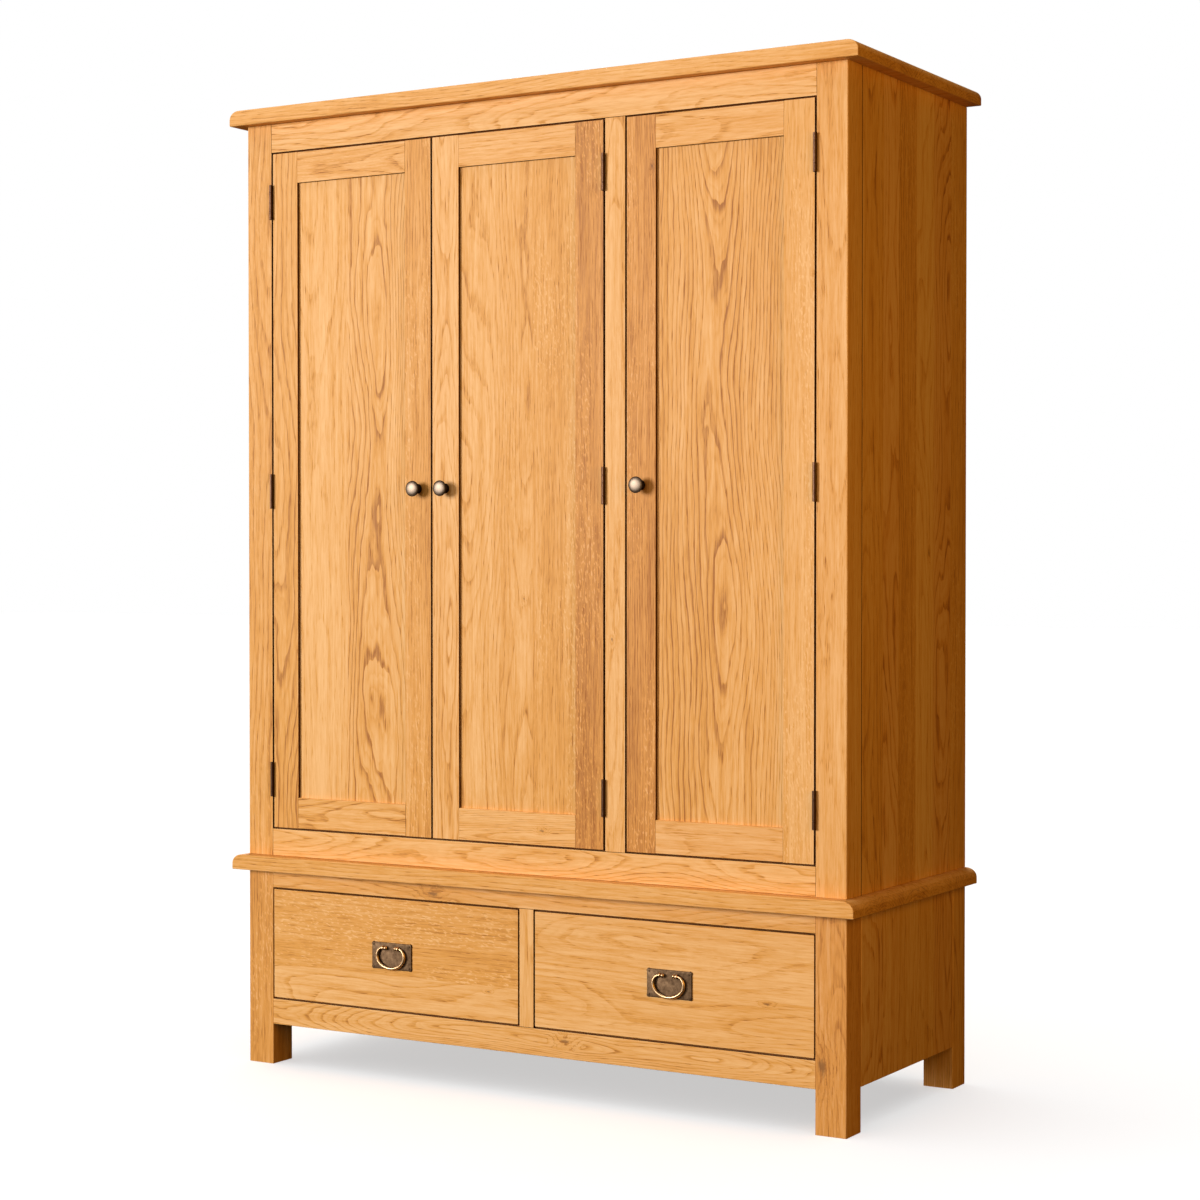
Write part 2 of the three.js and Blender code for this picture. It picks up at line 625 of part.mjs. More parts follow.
// A drop ring that hangs from the x axis through its origin: thin straight ends in the eyes,
// a ball on each end, and a thicker bow below.
function dropRing() {
  const halfWidth = RING_WIDTH / 2 - RING_RADIUS;
  const straight = (EYE_SPACING + EYE_WIDTH) / 2 + GLUE_GAP;
  const ballMiddle = (EYE_SPACING - EYE_WIDTH) / 2 - GLUE_GAP - RING_BALL_RADIUS;
  const widest = -EYE_ABOVE_MIDDLE;
  const lowest = widest - PLATE_HEIGHT / 2 + RING_RADIUS;
  const bow = new THREE.CurvePath();
  const quarter = (side) => ({
    shoulder: new THREE.Vector3(side * straight, 0, 0),
    corner: new THREE.Vector3(side * halfWidth, 0, 0),
    middle: new THREE.Vector3(side * halfWidth, 0, widest),
    low: new THREE.Vector3(side * halfWidth, 0, lowest),
    bottom: new THREE.Vector3(0, 0, lowest),
  });
  const left = quarter(-1);
  const right = quarter(1);
  bow.add(roundedCorner(left.shoulder, left.corner, left.middle));
  bow.add(roundedCorner(left.middle, left.low, left.bottom));
  bow.add(roundedCorner(right.bottom, right.low, right.middle));
  bow.add(roundedCorner(right.middle, right.corner, right.shoulder));
  const ends = [-1, 1].flatMap((side) => {
    const ballX = side * ballMiddle;
    const rod = cylinder("x", RING_END_RADIUS, span(ballX, side * (straight + RING_RADIUS)), RING_SIDES);
    const ball = new THREE.SphereGeometry(RING_BALL_RADIUS, RING_SIDES, RING_SIDES / 2);
    return [rod, ball.translate(ballX, 0, 0)];
  });
  return joined(tubeAlong(bow, RING_RADIUS), ...ends);
}

// Close to a quarter of an ellipse: a cubic curve from start to end that leaves towards corner.
function roundedCorner(start, corner, end) {
  const ellipse = 0.5523;
  const first = start.clone().lerp(corner, ellipse);
  const second = end.clone().lerp(corner, ellipse);
  return new THREE.CubicBezierCurve3(start, first, second, end);
}

function tubeAlong(path, radius) {
  const section = new THREE.Shape(
    Array.from({ length: RING_SIDES }, (_, index) => {
      const angle = (index / RING_SIDES) * 2 * Math.PI;
      return new THREE.Vector2(radius * Math.cos(angle), radius * Math.sin(angle));
    }),
  );
  return new THREE.ExtrudeGeometry(section, { steps: RING_STEPS, extrudePath: path, bevelEnabled: false });
}

// ---------------------------------------------------------------- the whole wardrobe

const wardrobe = new THREE.Group();
const carcass = groupAt(wardrobe, 0, -MIDDLE_OF_DEPTH, 0);
buildPlinth(carcass);
buildUpper(carcass);

// The left and middle doors meet; each keeps half of the closing gap.
const pairWidth = BAY - HINGE_GAP - DOOR_GAP / 2;
const singleWidth = BAY - HINGE_GAP - DOOR_GAP;
addDoor(carcass, "left", -POST_INNER + HINGE_GAP / 2, 1, pairWidth);
addDoor(carcass, "middle", STILE_LEFT - HINGE_GAP / 2, -1, pairWidth);
addDoor(carcass, "right", POST_INNER - HINGE_GAP / 2, -1, singleWidth);
addDrawer(carcass, "left", -1);
addDrawer(carcass, "right", 1);

export default wardrobe;
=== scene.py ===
"""Looks of the three-door oak wardrobe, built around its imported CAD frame. Metres, +Z up, front faces -Y."""
import json
import math
import random

import bmesh
import bpy
from mathutils import Matrix, Vector

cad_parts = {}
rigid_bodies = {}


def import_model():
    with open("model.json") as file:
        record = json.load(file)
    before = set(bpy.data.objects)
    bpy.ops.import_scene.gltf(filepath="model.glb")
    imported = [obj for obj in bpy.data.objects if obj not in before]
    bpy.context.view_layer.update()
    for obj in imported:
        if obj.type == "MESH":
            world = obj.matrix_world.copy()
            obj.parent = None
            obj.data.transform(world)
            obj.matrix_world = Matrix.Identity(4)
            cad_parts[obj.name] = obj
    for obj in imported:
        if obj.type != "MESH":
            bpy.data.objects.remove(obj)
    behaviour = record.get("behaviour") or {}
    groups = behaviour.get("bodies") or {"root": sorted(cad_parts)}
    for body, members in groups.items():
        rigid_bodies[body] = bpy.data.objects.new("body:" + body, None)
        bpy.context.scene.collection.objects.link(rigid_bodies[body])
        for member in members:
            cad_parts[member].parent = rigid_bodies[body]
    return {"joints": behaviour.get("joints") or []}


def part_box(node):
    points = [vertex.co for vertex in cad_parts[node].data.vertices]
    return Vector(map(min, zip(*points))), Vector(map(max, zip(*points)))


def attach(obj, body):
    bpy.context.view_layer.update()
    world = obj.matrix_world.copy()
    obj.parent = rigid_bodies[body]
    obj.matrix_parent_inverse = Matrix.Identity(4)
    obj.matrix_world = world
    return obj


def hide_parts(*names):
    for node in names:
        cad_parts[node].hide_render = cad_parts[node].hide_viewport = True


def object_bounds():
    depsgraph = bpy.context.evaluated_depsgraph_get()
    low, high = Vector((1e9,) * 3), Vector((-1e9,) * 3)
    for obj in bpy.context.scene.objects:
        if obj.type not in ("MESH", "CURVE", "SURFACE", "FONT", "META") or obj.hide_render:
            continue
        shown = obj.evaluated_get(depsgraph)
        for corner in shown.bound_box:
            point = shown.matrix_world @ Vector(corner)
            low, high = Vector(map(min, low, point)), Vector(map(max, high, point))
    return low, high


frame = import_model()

cad_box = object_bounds()

MM = 0.001
X, Y, Z = 0, 1, 2
SIDES = ("left", "right")
OUTWARD = {"left": -1, "right": 1}
DOORS = ("left", "middle", "right")
LEVELS = ("bottom", "middle", "top")
JOINTS = {joint["name"]: joint for joint in frame["joints"]}
GAP = 0.3 * MM  # glue gap that the CAD keeps between touching pieces


# ---------------- small helpers


def random_for(name):
    """A random source of its own for each piece, the same on every run."""
    return random.Random("wardrobe " + name)


def with_axis(corner, axis, value):
    changed = Vector(corner)
    changed[axis] = value
    return changed


def corners(xs, ys, zs):
    """The low and the high corner of a box, from two limits along each axis, in either order."""
    limits = (xs, ys, zs)
    return Vector([min(pair) for pair in limits]), Vector([max(pair) for pair in limits])


def link(mesh, material, body, node):
    """Makes a piece of a mesh, lets it ride on its body and stand for its CAD node, if it has one."""
    piece = bpy.data.objects.new(mesh.name, mesh)
    bpy.context.scene.collection.objects.link(piece)
    mesh.materials.append(material)
    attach(piece, body)
    if node:
        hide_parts(node)


def to_mesh(bm, name):
    bmesh.ops.recalc_face_normals(bm, faces=bm.faces)
    mesh = bpy.data.meshes.new(name)
    bm.to_mesh(mesh)
    bm.free()
    return mesh


def merge(bm, part):
    """Adds one bmesh to another."""
    mesh = to_mesh(part, "part")
    bm.from_mesh(mesh)
    bpy.data.meshes.remove(mesh)


def arc_points(centre, radii, start, end, steps):
    """(u, v) points on an ellipse from one angle to another, in degrees."""
    points = []
    for step in range(steps + 1):
        angle = math.radians(start + (end - start) * step / steps)
        points.append((centre[0] + radii[0] * math.cos(angle), centre[1] + radii[1] * math.sin(angle)))
    return points


def ramp(value, low, high):
    return max(0.0, min(1.0, (value - low) / (high - low)))


# ---------------- node trees


class Shader:
    """A short way to write a material's nodes. Values are numbers or other nodes' sockets."""

    def __init__(self, name):
        self.material = bpy.data.materials.new(name)
        self.material.use_nodes = True
        self.nodes = self.material.node_tree.nodes
        self.links = self.material.node_tree.links
        self.surface = self.nodes["Principled BSDF"]

    def plug(self, socket, value):
        if isinstance(value, bpy.types.NodeSocket):
            self.links.new(value, socket)
        else:
            socket.default_value = value

    def node(self, kind, inputs=(), **settings):
        """Adds a node with its settings and fills its first inputs in order."""
        node = self.nodes.new("ShaderNode" + kind)
        for name, value in settings.items():
            setattr(node, name, value)
        for socket, value in zip(node.inputs, inputs):
            self.plug(socket, value)
        return node

    def attribute(self, name):
        return self.node("Attribute", attribute_name=name).outputs["Vector"]

    def place(self):
        return self.node("TexCoord").outputs["Object"]

    def parts(self, vector):
        return self.node("SeparateXYZ", (vector,)).outputs

    def vector(self, x, y, z):
        return self.node("CombineXYZ", (x, y, z)).outputs[0]

    def length(self, vector):
        return self.node("VectorMath", (vector,), operation="LENGTH").outputs["Value"]

    def scaled(self, vector, x, y, z):
        return self.node("VectorMath", (vector, (x, y, z)), operation="MULTIPLY").outputs[0]

    def math(self, operation, *values, clamp=False):
        return self.node("Math", values, operation=operation, use_clamp=clamp).outputs[0]

    def clamped(self, value):
        return self.math("ADD", value, 0.0, clamp=True)

    def sum(self, total, *values):
        for value in values:
            total = self.math("ADD", total, value)
        return total

    def times(self, product, *values):
        for value in values:
            product = self.math("MULTIPLY", product, value)
        return product

    def swing(self, value, size):
        """A value of 0 to 1, made to swing about zero."""
        return self.times(self.math("SUBTRACT", value, 0.5), size)

    def noise(self, vector, detail=2.0, roughness=0.5, colour=False):
        node = self.node("TexNoise", (vector,))
        for name, value in (("Scale", 1.0), ("Detail", detail), ("Roughness", roughness)):
            node.inputs[name].default_value = value
        return node.outputs["Color" if colour else "Fac"]

    def between(self, value, low, high, out_low=0.0, out_high=1.0):
        """Maps low..high smoothly to out_low..out_high, and holds the ends."""
        inputs = (value, low, high, out_low, out_high)
        return self.node("MapRange", inputs, interpolation_type="SMOOTHSTEP").outputs[0]

    def colours(self, value, stops):
        """A ramp through (place, colour) stops."""
        node = self.node("ValToRGB", (value,))
        elements = node.color_ramp.elements
        while len(elements) < len(stops):
            elements.new(0.5)
        for element, (place, colour) in zip(elements, stops):
            element.position = place
            element.color = (*colour, 1.0)
        return node.outputs["Color"]

    def curve(self, value, stops):
        """A ramp through (place, height) stops."""
        return self.colours(value, [(place, (height, height, height)) for place, height in stops])

    def mix(self, share, first, second, blend="MIX"):
        node = self.node("Mix", data_type="RGBA", blend_type=blend)
        self.plug(node.inputs["Factor"], share)
        sockets = [socket for socket in node.inputs if socket.type == "RGBA"]
        for socket, value in zip(sockets, (first, second)):
            self.plug(socket, (*value, 1.0) if isinstance(value, tuple) else value)
        return next(socket for socket in node.outputs if socket.type == "RGBA")

    def bump(self, height, strength, distance):
        node = self.node("Bump")
        node.inputs["Strength"].default_value = strength
        node.inputs["Distance"].default_value = distance
        self.plug(node.inputs["Height"], height)
        self.plug(self.surface.inputs["Normal"], node.outputs[0])

    def finish(self, **sockets):
        for name, value in sockets.items():
            self.plug(self.surface.inputs[name.replace("_", " ")], value)
        return self.material


# ---------------- oak


RED_STAVE = (0.93, 0.82, 0.86)  # multiplies the colour of a stave with redness 1
KNOT_CORE = (0.20, 0.080, 0.022)
# painted shade: the near-black of a deep gap, put on faces in the mouths of gaps and on shaded recess walls
GAP_SHADE_COLOUR = (0.050, 0.010, 0.002)
FINE_RINGS = 2.6  # fine lines for each growth ring
EARLY_WOOD = [(0.0, 0.10), (0.04, 1.0), (0.15, 0.85), (0.30, 0.20), (0.75, 0.0), (1.0, 0.10)]
FINE_LINE = [(0.0, 0.2), (0.12, 1.0), (0.45, 0.3), (0.85, 0.0), (1.0, 0.2)]


def oak(name, light, mid, dark, roughness):
    """Lacquered oak. It reads five vectors that every board carries at its corners:
    wood: the place in the log in metres (along, across, away from the pith);
    tone: brightness and redness of the stave, and how many growth rings it has per metre;
    figure: how strong its rings and its ray flecks are, and how much painted shade of a gap or recess lies on
    the face;
    wear: 1 on worn edges, and 1 on end grain;
    knot: the place seen from the board's knot, in radii of that knot."""
    s = Shader(name)
    along, across, deep = s.parts(s.attribute("wood"))
    bright, red, rings = s.parts(s.attribute("tone"))
    ring_strength, fleck_strength, stain = s.parts(s.attribute("figure"))
    worn, end, _ = s.parts(s.attribute("wear"))

    def stretched(lengthways, crossways, skew=0.0):
        forward = s.sum(s.times(along, lengthways), s.times(across, skew))
        return s.vector(forward, s.times(across, crossways), s.times(deep, crossways))

    # Slow waves of the trunk, and a knot that pushes the rings aside.
    wave_y, wave_z, _ = s.parts(s.noise(stretched(1.3, 5.0), 1.0, colour=True))
    ripple = s.noise(stretched(7.0, 30.0), 2.0, 0.55)
    knot_place = s.attribute("knot")
    knot_distance = s.sum(s.length(knot_place), s.swing(s.noise(knot_place, 3.0, 0.7), 2.4))
    knot = s.between(knot_distance, 0.6, 4.0, 1.0, 0.0)
    knot_core = s.between(knot_distance, 0.25, 1.15, 1.0, 0.0)
    pith_y = s.sum(across, s.swing(wave_y, 0.09))
    pith_z = s.sum(deep, s.swing(wave_z, 0.10))
    radius = s.math("SQRT", s.sum(s.math("POWER", pith_y, 2.0), s.math("POWER", pith_z, 2.0)))
    pushed = s.sum(radius, s.swing(ripple, 0.008), s.times(knot, 0.009))
    ring = s.curve(s.math("FRACT", s.times(pushed, rings)), EARLY_WOOD)
    fine_ring = s.curve(s.math("FRACT", s.times(pushed, s.times(rings, FINE_RINGS))), FINE_LINE)

    # Fibres, pores in the early wood, ray flecks and broad clouds.
    broad = s.noise(stretched(1.1, 9.0), 2.0, 0.6)
    streak = s.noise(stretched(2.2, 85.0), 3.0, 0.66)
    fibre = s.noise(stretched(16.0, 300.0), 3.0, 0.65)
    pore_spots = s.between(s.noise(stretched(34.0, 760.0), 1.0), 0.55, 0.68)
    pores = s.times(pore_spots, s.sum(0.30, s.times(ring, 0.70)))
    rays = s.between(s.noise(stretched(95.0, 260.0, skew=120.0), 2.0, 0.55), 0.54, 0.66)
    patchy = s.between(s.noise(stretched(2.5, 14.0), 1.0), 0.38, 0.58)
    ray = s.times(rays, fleck_strength, patchy)

    ring_depth = s.times(s.between(broad, 0.30, 0.70, 0.38, 0.72), ring_strength)
    darkness = s.sum(
        0.18,
        s.times(ring, ring_depth),
        s.times(fine_ring, s.times(ring_depth, 0.32)),
        s.swing(streak, 0.80),
        s.swing(fibre, 0.95),
        s.swing(broad, 0.40),
        s.times(pores, 0.45),
        s.times(ray, -0.46),
        s.times(fleck_strength, 0.26),
        s.times(knot, 0.16),
        s.times(bright, -0.16),
        s.times(end, 0.25),
    )
    colour = s.colours(s.clamped(darkness), [(0.0, light), (0.5, mid), (1.0, dark)])
    colour = s.mix(s.clamped(red), colour, RED_STAVE, "MULTIPLY")
    colour = s.mix(s.times(knot_core, 0.70), colour, KNOT_CORE)
    colour = s.mix(s.times(worn, 0.20), colour, light)
    # painted shade in the mouths of gaps and on the shaded walls of recesses
    colour = s.mix(stain, colour, GAP_SHADE_COLOUR)

    # faces with painted shade are rougher as well
    rough = s.sum(
        roughness, s.swing(streak, 0.16), s.times(pores, 0.16), s.times(worn, 0.06), s.times(stain, 0.35)
    )
    height = s.sum(s.times(fibre, 0.4), s.times(pores, -1.0), s.times(ring, -0.35))
    s.bump(height, 0.35, 0.35 * MM)
    return s.finish(
        Base_Color=colour, Roughness=rough, Specular_IOR_Level=0.22, Coat_Weight=0.03, Coat_Roughness=0.30
    )


OAK = oak("oak_lacquered", (0.90, 0.510, 0.200), (0.755, 0.345, 0.066), (0.400, 0.140, 0.020), 0.52)
OAK_INSIDE = oak("oak_inside", (0.84, 0.56, 0.30), (0.69, 0.40, 0.175), (0.36, 0.17, 0.06), 0.62)


# ---------------- metals


def metal(name, dull, bright, patchiness, roughness, dents=0.0):
    """Antiqued metal in object space: bright where hands polish it, dark where patina stays.
    Each corner's polish says which, and clouds and specks break up the change."""
    s = Shader(name)
    place = s.place()
    polish = s.parts(s.attribute("polish"))[0]
    clouds = s.noise(s.scaled(place, 170.0, 170.0, 170.0), 3.0, 0.6)
    specks = s.noise(s.scaled(place, 950.0, 950.0, 950.0))
    mottle = s.sum(clouds, s.swing(specks, 0.5), -0.5)
    shine = s.sum(polish, s.times(mottle, patchiness))
    tint = s.colours(s.clamped(shine), [(0.0, dull), (1.0, bright)])
    rough = s.sum(roughness, s.times(s.math("SUBTRACT", 1.0, shine, clamp=True), 0.22))
    if dents:
        s.bump(s.sum(clouds, s.times(specks, 0.4)), dents, 0.25 * MM)
    return s.finish(Base_Color=tint, Roughness=rough, Metallic=1.0)


PLATE_BRASS = metal("brass_plate", (0.036, 0.016, 0.007), (0.33, 0.205, 0.115), 0.75, 0.44, 0.25)
RING_BRASS = metal("brass_ring", (0.09, 0.040, 0.014), (0.70, 0.45, 0.24), 0.05, 0.36, 0.0)
KNOB_BRASS = metal("brass_knob", (0.016, 0.007, 0.003), (0.36, 0.272, 0.205), 0.20, 0.50, 0.05)
HINGE_BRASS = metal("brass_hinge", (0.012, 0.005, 0.003), (0.11, 0.055, 0.034), 0.35, 0.30, 0.04)
PIN_BRASS = metal("brass_screw", (0.10, 0.065, 0.035), (0.60, 0.45, 0.26), 0.40, 0.34, 0.05)


def brushed_steel():
    s = Shader("rail_steel")
    place = s.place()
    lines = s.noise(s.scaled(place, 18.0, 1500.0, 1500.0), 2.0, 0.6)
    smudges = s.noise(s.scaled(place, 22.0, 22.0, 22.0))
    tint = s.colours(lines, [(0.25, (0.55, 0.56, 0.58)), (0.75, (0.76, 0.77, 0.79))])
    rough = s.sum(0.20, s.times(smudges, 0.12), s.times(lines, 0.08))
    s.bump(lines, 0.15, 0.05 * MM)
    return s.finish(Base_Color=tint, Roughness=rough, Metallic=1.0)


STEEL = brushed_steel()


def smooth(mesh, degrees=42):
    mesh.polygons.foreach_set("use_smooth", [True] * len(mesh.polygons))
    mesh.set_sharp_from_angle(angle=math.radians(degrees))


def link_metal(mesh, material, polish, body="carcass", node=None):
    """Links a metal piece. polish tells how bright a corner is, 0 to 1, from its place and its
    face's normal."""
    smooth(mesh)
    data = mesh.attributes.new("polish", "FLOAT_VECTOR", "CORNER").data
    for face in mesh.polygons:
        for index in face.loop_indices:
            value = polish(mesh.vertices[mesh.loops[index].vertex_index].co, face.normal)
            data[index].vector = (value, value, value)
    link(mesh, material, body, node)


# ---------------- boards


PAINTED_SHADE = 0.96  # how much of a face's colour is painted shade, the dark of a deep gap, where it looks into a gap or is a shaded recess wall
SHADE_PAINT_REACH = 5 * MM  # how deep the painted shade goes into a gap between two front boards
KNOT_STRETCH = 0.45  # how much closer a knot's rings seem along the grain
FAR_FROM_KNOT = (9.0, 9.0, 9.0)
FLAT_FACE = 0.985  # a face whose normal is nearer to an axis than this isn't part of a rounding


def box_bmesh(low, high):
    bm = bmesh.new()
    bmesh.ops.create_cube(bm, size=1.0)
    low, high = Vector(low), Vector(high)
    for vert in bm.verts:
        for axis in (X, Y, Z):
            vert.co[axis] = low[axis] if vert.co[axis] < 0 else high[axis]
    return bm


def is_corner(edge, degrees=40):
    return len(edge.link_faces) == 2 and edge.calc_face_angle() > math.radians(degrees)


def runs_along(edge, axis):
    direction = (edge.verts[1].co - edge.verts[0].co).normalized()
    return abs(direction[axis]) > 0.99


def bevel(bm, edges, width, segments):
    if edges:
        bmesh.ops.bevel(
            bm, geom=edges, offset=width, segments=segments, profile=0.5, affect="EDGES", clamp_overlap=True
        )


def ease_edges(bm, grain, rounding, end_rounding, outer=0):
    """Rounds the long edges, or only those on the outer side in X, then takes the sharpness off
    all that is left."""
    long_edges = [e for e in bm.edges if is_corner(e) and runs_along(e, grain)]
    if outer:
        middle = sum(v.co.x for v in bm.verts) / len(bm.verts)
        long_edges = [e for e in long_edges if (e.verts[0].co.x - middle) * outer > 0]
    bevel(bm, long_edges, rounding, 3)
    bevel(bm, [e for e in bm.edges if is_corner(e, 50)], end_rounding, 2)


def cut_across(bm, axis, places):
    """Adds an edge loop at each place, where two staves are glued together."""
    for place in places:
        normal = Vector((0, 0, 0))
        normal[axis] = 1.0
        everything = [*bm.verts, *bm.edges, *bm.faces]
        bmesh.ops.bisect_plane(bm, geom=everything, plane_co=normal * place, plane_no=normal, dist=1e-6)


def stave_edges(low, high, count, rng):
    """Uneven places that split low..high into count staves."""
    step = (high - low) / count
    return [low + step * (number + rng.uniform(-0.14, 0.14)) for number in range(1, count)]


def flat_sawn(rng):
    """How a stave was cut: across and away from the pith, rings per metre, strength of rings, of flecks."""
    across, away = rng.uniform(-0.025, 0.025), rng.uniform(0.07, 0.14)
    return across, away, rng.uniform(160, 230), rng.uniform(0.65, 1.0), 0.0


def fine_sawn(rng):
    """Flat-sawn from slow-grown wood, with close wavy lines."""
    across, away = rng.uniform(-0.01, 0.01), rng.uniform(0.03, 0.06)
    return across, away, rng.uniform(230, 290), rng.uniform(0.7, 0.9), 0.0


def plain_sawn(rng):
    """Flat-sawn with a weak figure."""
    across, away, rings, _, _ = flat_sawn(rng)
    return across, away, rings * 0.8, rng.uniform(0.25, 0.5), rng.uniform(0.0, 0.3)


def rift_sawn(rng):
    """Straight lines with some ray flecks."""
    across, away = rng.choice((-1, 1)) * rng.uniform(0.16, 0.30), rng.uniform(0.0, 0.10)
    return across, away, rng.uniform(130, 230), rng.uniform(0.15, 0.45), rng.uniform(0.3, 0.9)


def quarter_sawn(rng):
    """Almost no lines but full of slanting ray flecks."""
    return rng.uniform(0.30, 0.40), rng.uniform(-0.02, 0.02), rng.uniform(110, 150), 0.12, 1.0


ANY_CUT = (flat_sawn, plain_sawn, plain_sawn, rift_sawn)


def looks(cut, bright, red=0.0, **more):
    """The looks of a board whose staves were all cut alike and have one tone."""
    return {"cuts": [cut], "tones": [(bright, red)], **more}


def write_grain(mesh, name, grain, width, edges, cuts=None, tones=None, knot=None, stained=None):
    """Gives every corner its place in the log it was cut from. edges are the stave boundaries
    along the width axis; cuts and tones may fix what would be drawn at random for each stave;
    knot is (place, radius) of one knot; stained tells from a face how dark the painted
    shade of a gap or recess on it is."""
    rng = random_for(name)
    depth = 3 - grain - width
    staves = []
    for number in range(len(edges) + 1):
        cut = cuts[number % len(cuts)] if cuts else rng.choice(ANY_CUT)
        across, away, rings, ring_strength, flecks = cut(rng)
        along = rng.uniform(0, 40)
        tone = (rng.uniform(-1, 1), max(0.0, rng.uniform(-0.6, 0.5)))
        if tones:
            tone = tones[number % len(tones)]
        staves.append((along, across, away, (*tone, rings), (ring_strength, flecks)))
    bounds = [min(v.co[width] for v in mesh.vertices), *edges, max(v.co[width] for v in mesh.vertices)]
    middle_depth = sum(v.co[depth] for v in mesh.vertices) / len(mesh.vertices)
    spot, spot_radius = knot or ((0.0, 0.0, 0.0), 1.0)

    labels = ("wood", "tone", "figure", "wear", "knot")
    for label in labels:
        mesh.attributes.new(label, "FLOAT_VECTOR", "CORNER")
    wood, tones_out, figure, wear, knots = (mesh.attributes[label].data for label in labels)
    for face in mesh.polygons:
        number = sum(face.center[width] > edge for edge in edges)
        along, across, away, tone, strengths = staves[number]
        middle = (bounds[number] + bounds[number + 1]) / 2
        slanted = max(abs(c) for c in face.normal) < FLAT_FACE
        end = abs(face.normal[grain]) > 0.7
        # the painted shade, if any, that this face gets as part of a gap or a recess
        stain = stained(face) if stained else 0.0
        face.use_smooth = slanted
        for index in face.loop_indices:
            co = mesh.vertices[mesh.loops[index].vertex_index].co
            place = (co[grain] + along, co[width] - middle + across, co[depth] - middle_depth + away)
            wood[index].vector = place
            tones_out[index].vector = tone
            figure[index].vector = (*strengths, stain)
            wear[index].vector = (float(slanted), float(end), 0.0)
            from_knot = (co - Vector(spot)) / spot_radius
            from_knot[grain] *= KNOT_STRETCH
            knots[index].vector = from_knot if knot else FAR_FROM_KNOT


def board(name, low, high, grain, body, node=None, slot="oak", material=OAK, width=None, staves=1,
          rounding=1.2 * MM, end_rounding=0.35 * MM, outer=0, seams=None, mouth=False, **figure):
    """One board, or a panel glued from several staves side by side. seams, if given, are the
    shares of the width where the staves meet; with a mouth, its edges are split where the painted
    shade of a gap ends; figure goes to write_grain."""
    low, high = Vector(low), Vector(high)
    size = high - low
    if width is None:
        width = max((axis for axis in (X, Y, Z) if axis != grain), key=lambda axis: size[axis])
    bm = box_bmesh(low, high)
    ease_edges(bm, grain, rounding, end_rounding, outer)
    if seams:
        edges = [low[width] + size[width] * share for share in seams]
    else:
        edges = stave_edges(low[width], high[width], staves, random_for(name + " staves"))
    cut_across(bm, width, edges)
    if mouth:
        cut_across(bm, Y, [low.y + SHADE_PAINT_REACH])
    mesh = to_mesh(bm, name)
    write_grain(mesh, name, grain, width, edges, **figure)
    link(mesh, material, body, node)


def board_of(node, grain, body="carcass", **options):
    """A board that stands for a CAD node of the same box."""
    low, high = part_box(node)
    board(node + "_wood", low, high, grain, body, node, **options)


INSIDE_ROUNDING = 0.8 * MM


def inside_board(name, low, high, grain, node=None, body="carcass", **options):
    board(name, low, high, grain, body, node, slot="oak_inside", material=OAK_INSIDE,
          rounding=INSIDE_ROUNDING, **options)


V_JOINT = 2.2 * MM  # rounding that makes the V between two matchboards
MATCH_GAP = 0.2 * MM


def matched_boards(node, count):
    """Upright matchboards with a V joint between each two, as one piece."""
    low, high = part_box(node)
    name = node + "_wood"
    bm = bmesh.new()
    pitch = (high.x - low.x) / count
    edges = [low.x + pitch * number for number in range(1, count)]
    bounds = [low.x, *edges, high.x]
    for left, right in zip(bounds, bounds[1:]):
        left, right = left + MATCH_GAP / 2, right - MATCH_GAP / 2
        part = box_bmesh(with_axis(low, X, left), with_axis(high, X, right))
        ease_edges(part, Z, V_JOINT, 0.3 * MM)
        merge(bm, part)
    mesh = to_mesh(bm, name)
    write_grain(mesh, name, Z, X, edges)
    link(mesh, OAK_INSIDE, "carcass", node)


# ---------------- slabs


SLAB_ROUND = (22 * MM, 18 * MM)  # width and height of the quarter rounds at a slab's ends
SLAB_STAVES = 5


def moulded_slab(node):
    """A slab whose left and right upper edges are quarter rounds; its front is flat and eased."""
    low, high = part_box(node)
    width, height = SLAB_ROUND
    outline = [(low.x, low.z)]
    outline += arc_points((low.x + width, high.z - height), SLAB_ROUND, 180, 90, 12)
    outline += arc_points((high.x - width, high.z - height), SLAB_ROUND, 90, 0, 12)
    outline += [(high.x, low.z)]
    bm = bmesh.new()
    rows = [[bm.verts.new((x, y, z)) for x, z in outline] for y in (low.y, high.y)]
    bm.faces.new(rows[0])
    bm.faces.new(rows[1][::-1])
    for index in range(len(outline)):
        after = (index + 1) % len(outline)
        bm.faces.new((rows[0][index], rows[1][index], rows[1][after], rows[0][after]))
    bmesh.ops.recalc_face_normals(bm, faces=bm.faces)
    bevel(bm, [e for e in bm.edges if is_corner(e, 50)], 1.6 * MM, 3)
    name = node + "_wood"
    edges = stave_edges(low.y, high.y, SLAB_STAVES, random_for(name + " staves"))
    cut_across(bm, Y, edges)
    mesh = to_mesh(bm, name)
    write_grain(mesh, name, X, Y, edges, cuts=[plain_sawn], tones=[(-0.2, 0.0), (-0.5, 0.1), (0.1, 0.0)])
    link(mesh, OAK, "carcass", node)


# ---------------- carcass


POST_ROUNDING = 2.4 * MM
PLINTH_PANEL = 22 * MM
RUNNER_HEIGHT = 18 * MM
GUIDE_RISE = 20 * MM  # how far a drawer's guide stands above its runner
DIVIDER_POST = 32 * MM
DIVIDER_WEB = 18 * MM
TOP_RAIL = 22 * MM


def painted_gap_shade(axis, sign=0, front=None):
    """A rule for write_grain: faces that look along an axis into a narrow gap get painted shade, dark as a
    deep gap. front is the place in Y of the board's face, when only the mouth of the gap gets painted shade."""
    def stain(face):
        if front is not None and face.center.y > front + SHADE_PAINT_REACH:
            return 0.0
        toward = face.normal[axis] * sign if sign else abs(face.normal[axis])
        # painted shade on faces that look into the gap
        return PAINTED_SHADE if toward > 0.3 else 0.0
    return stain


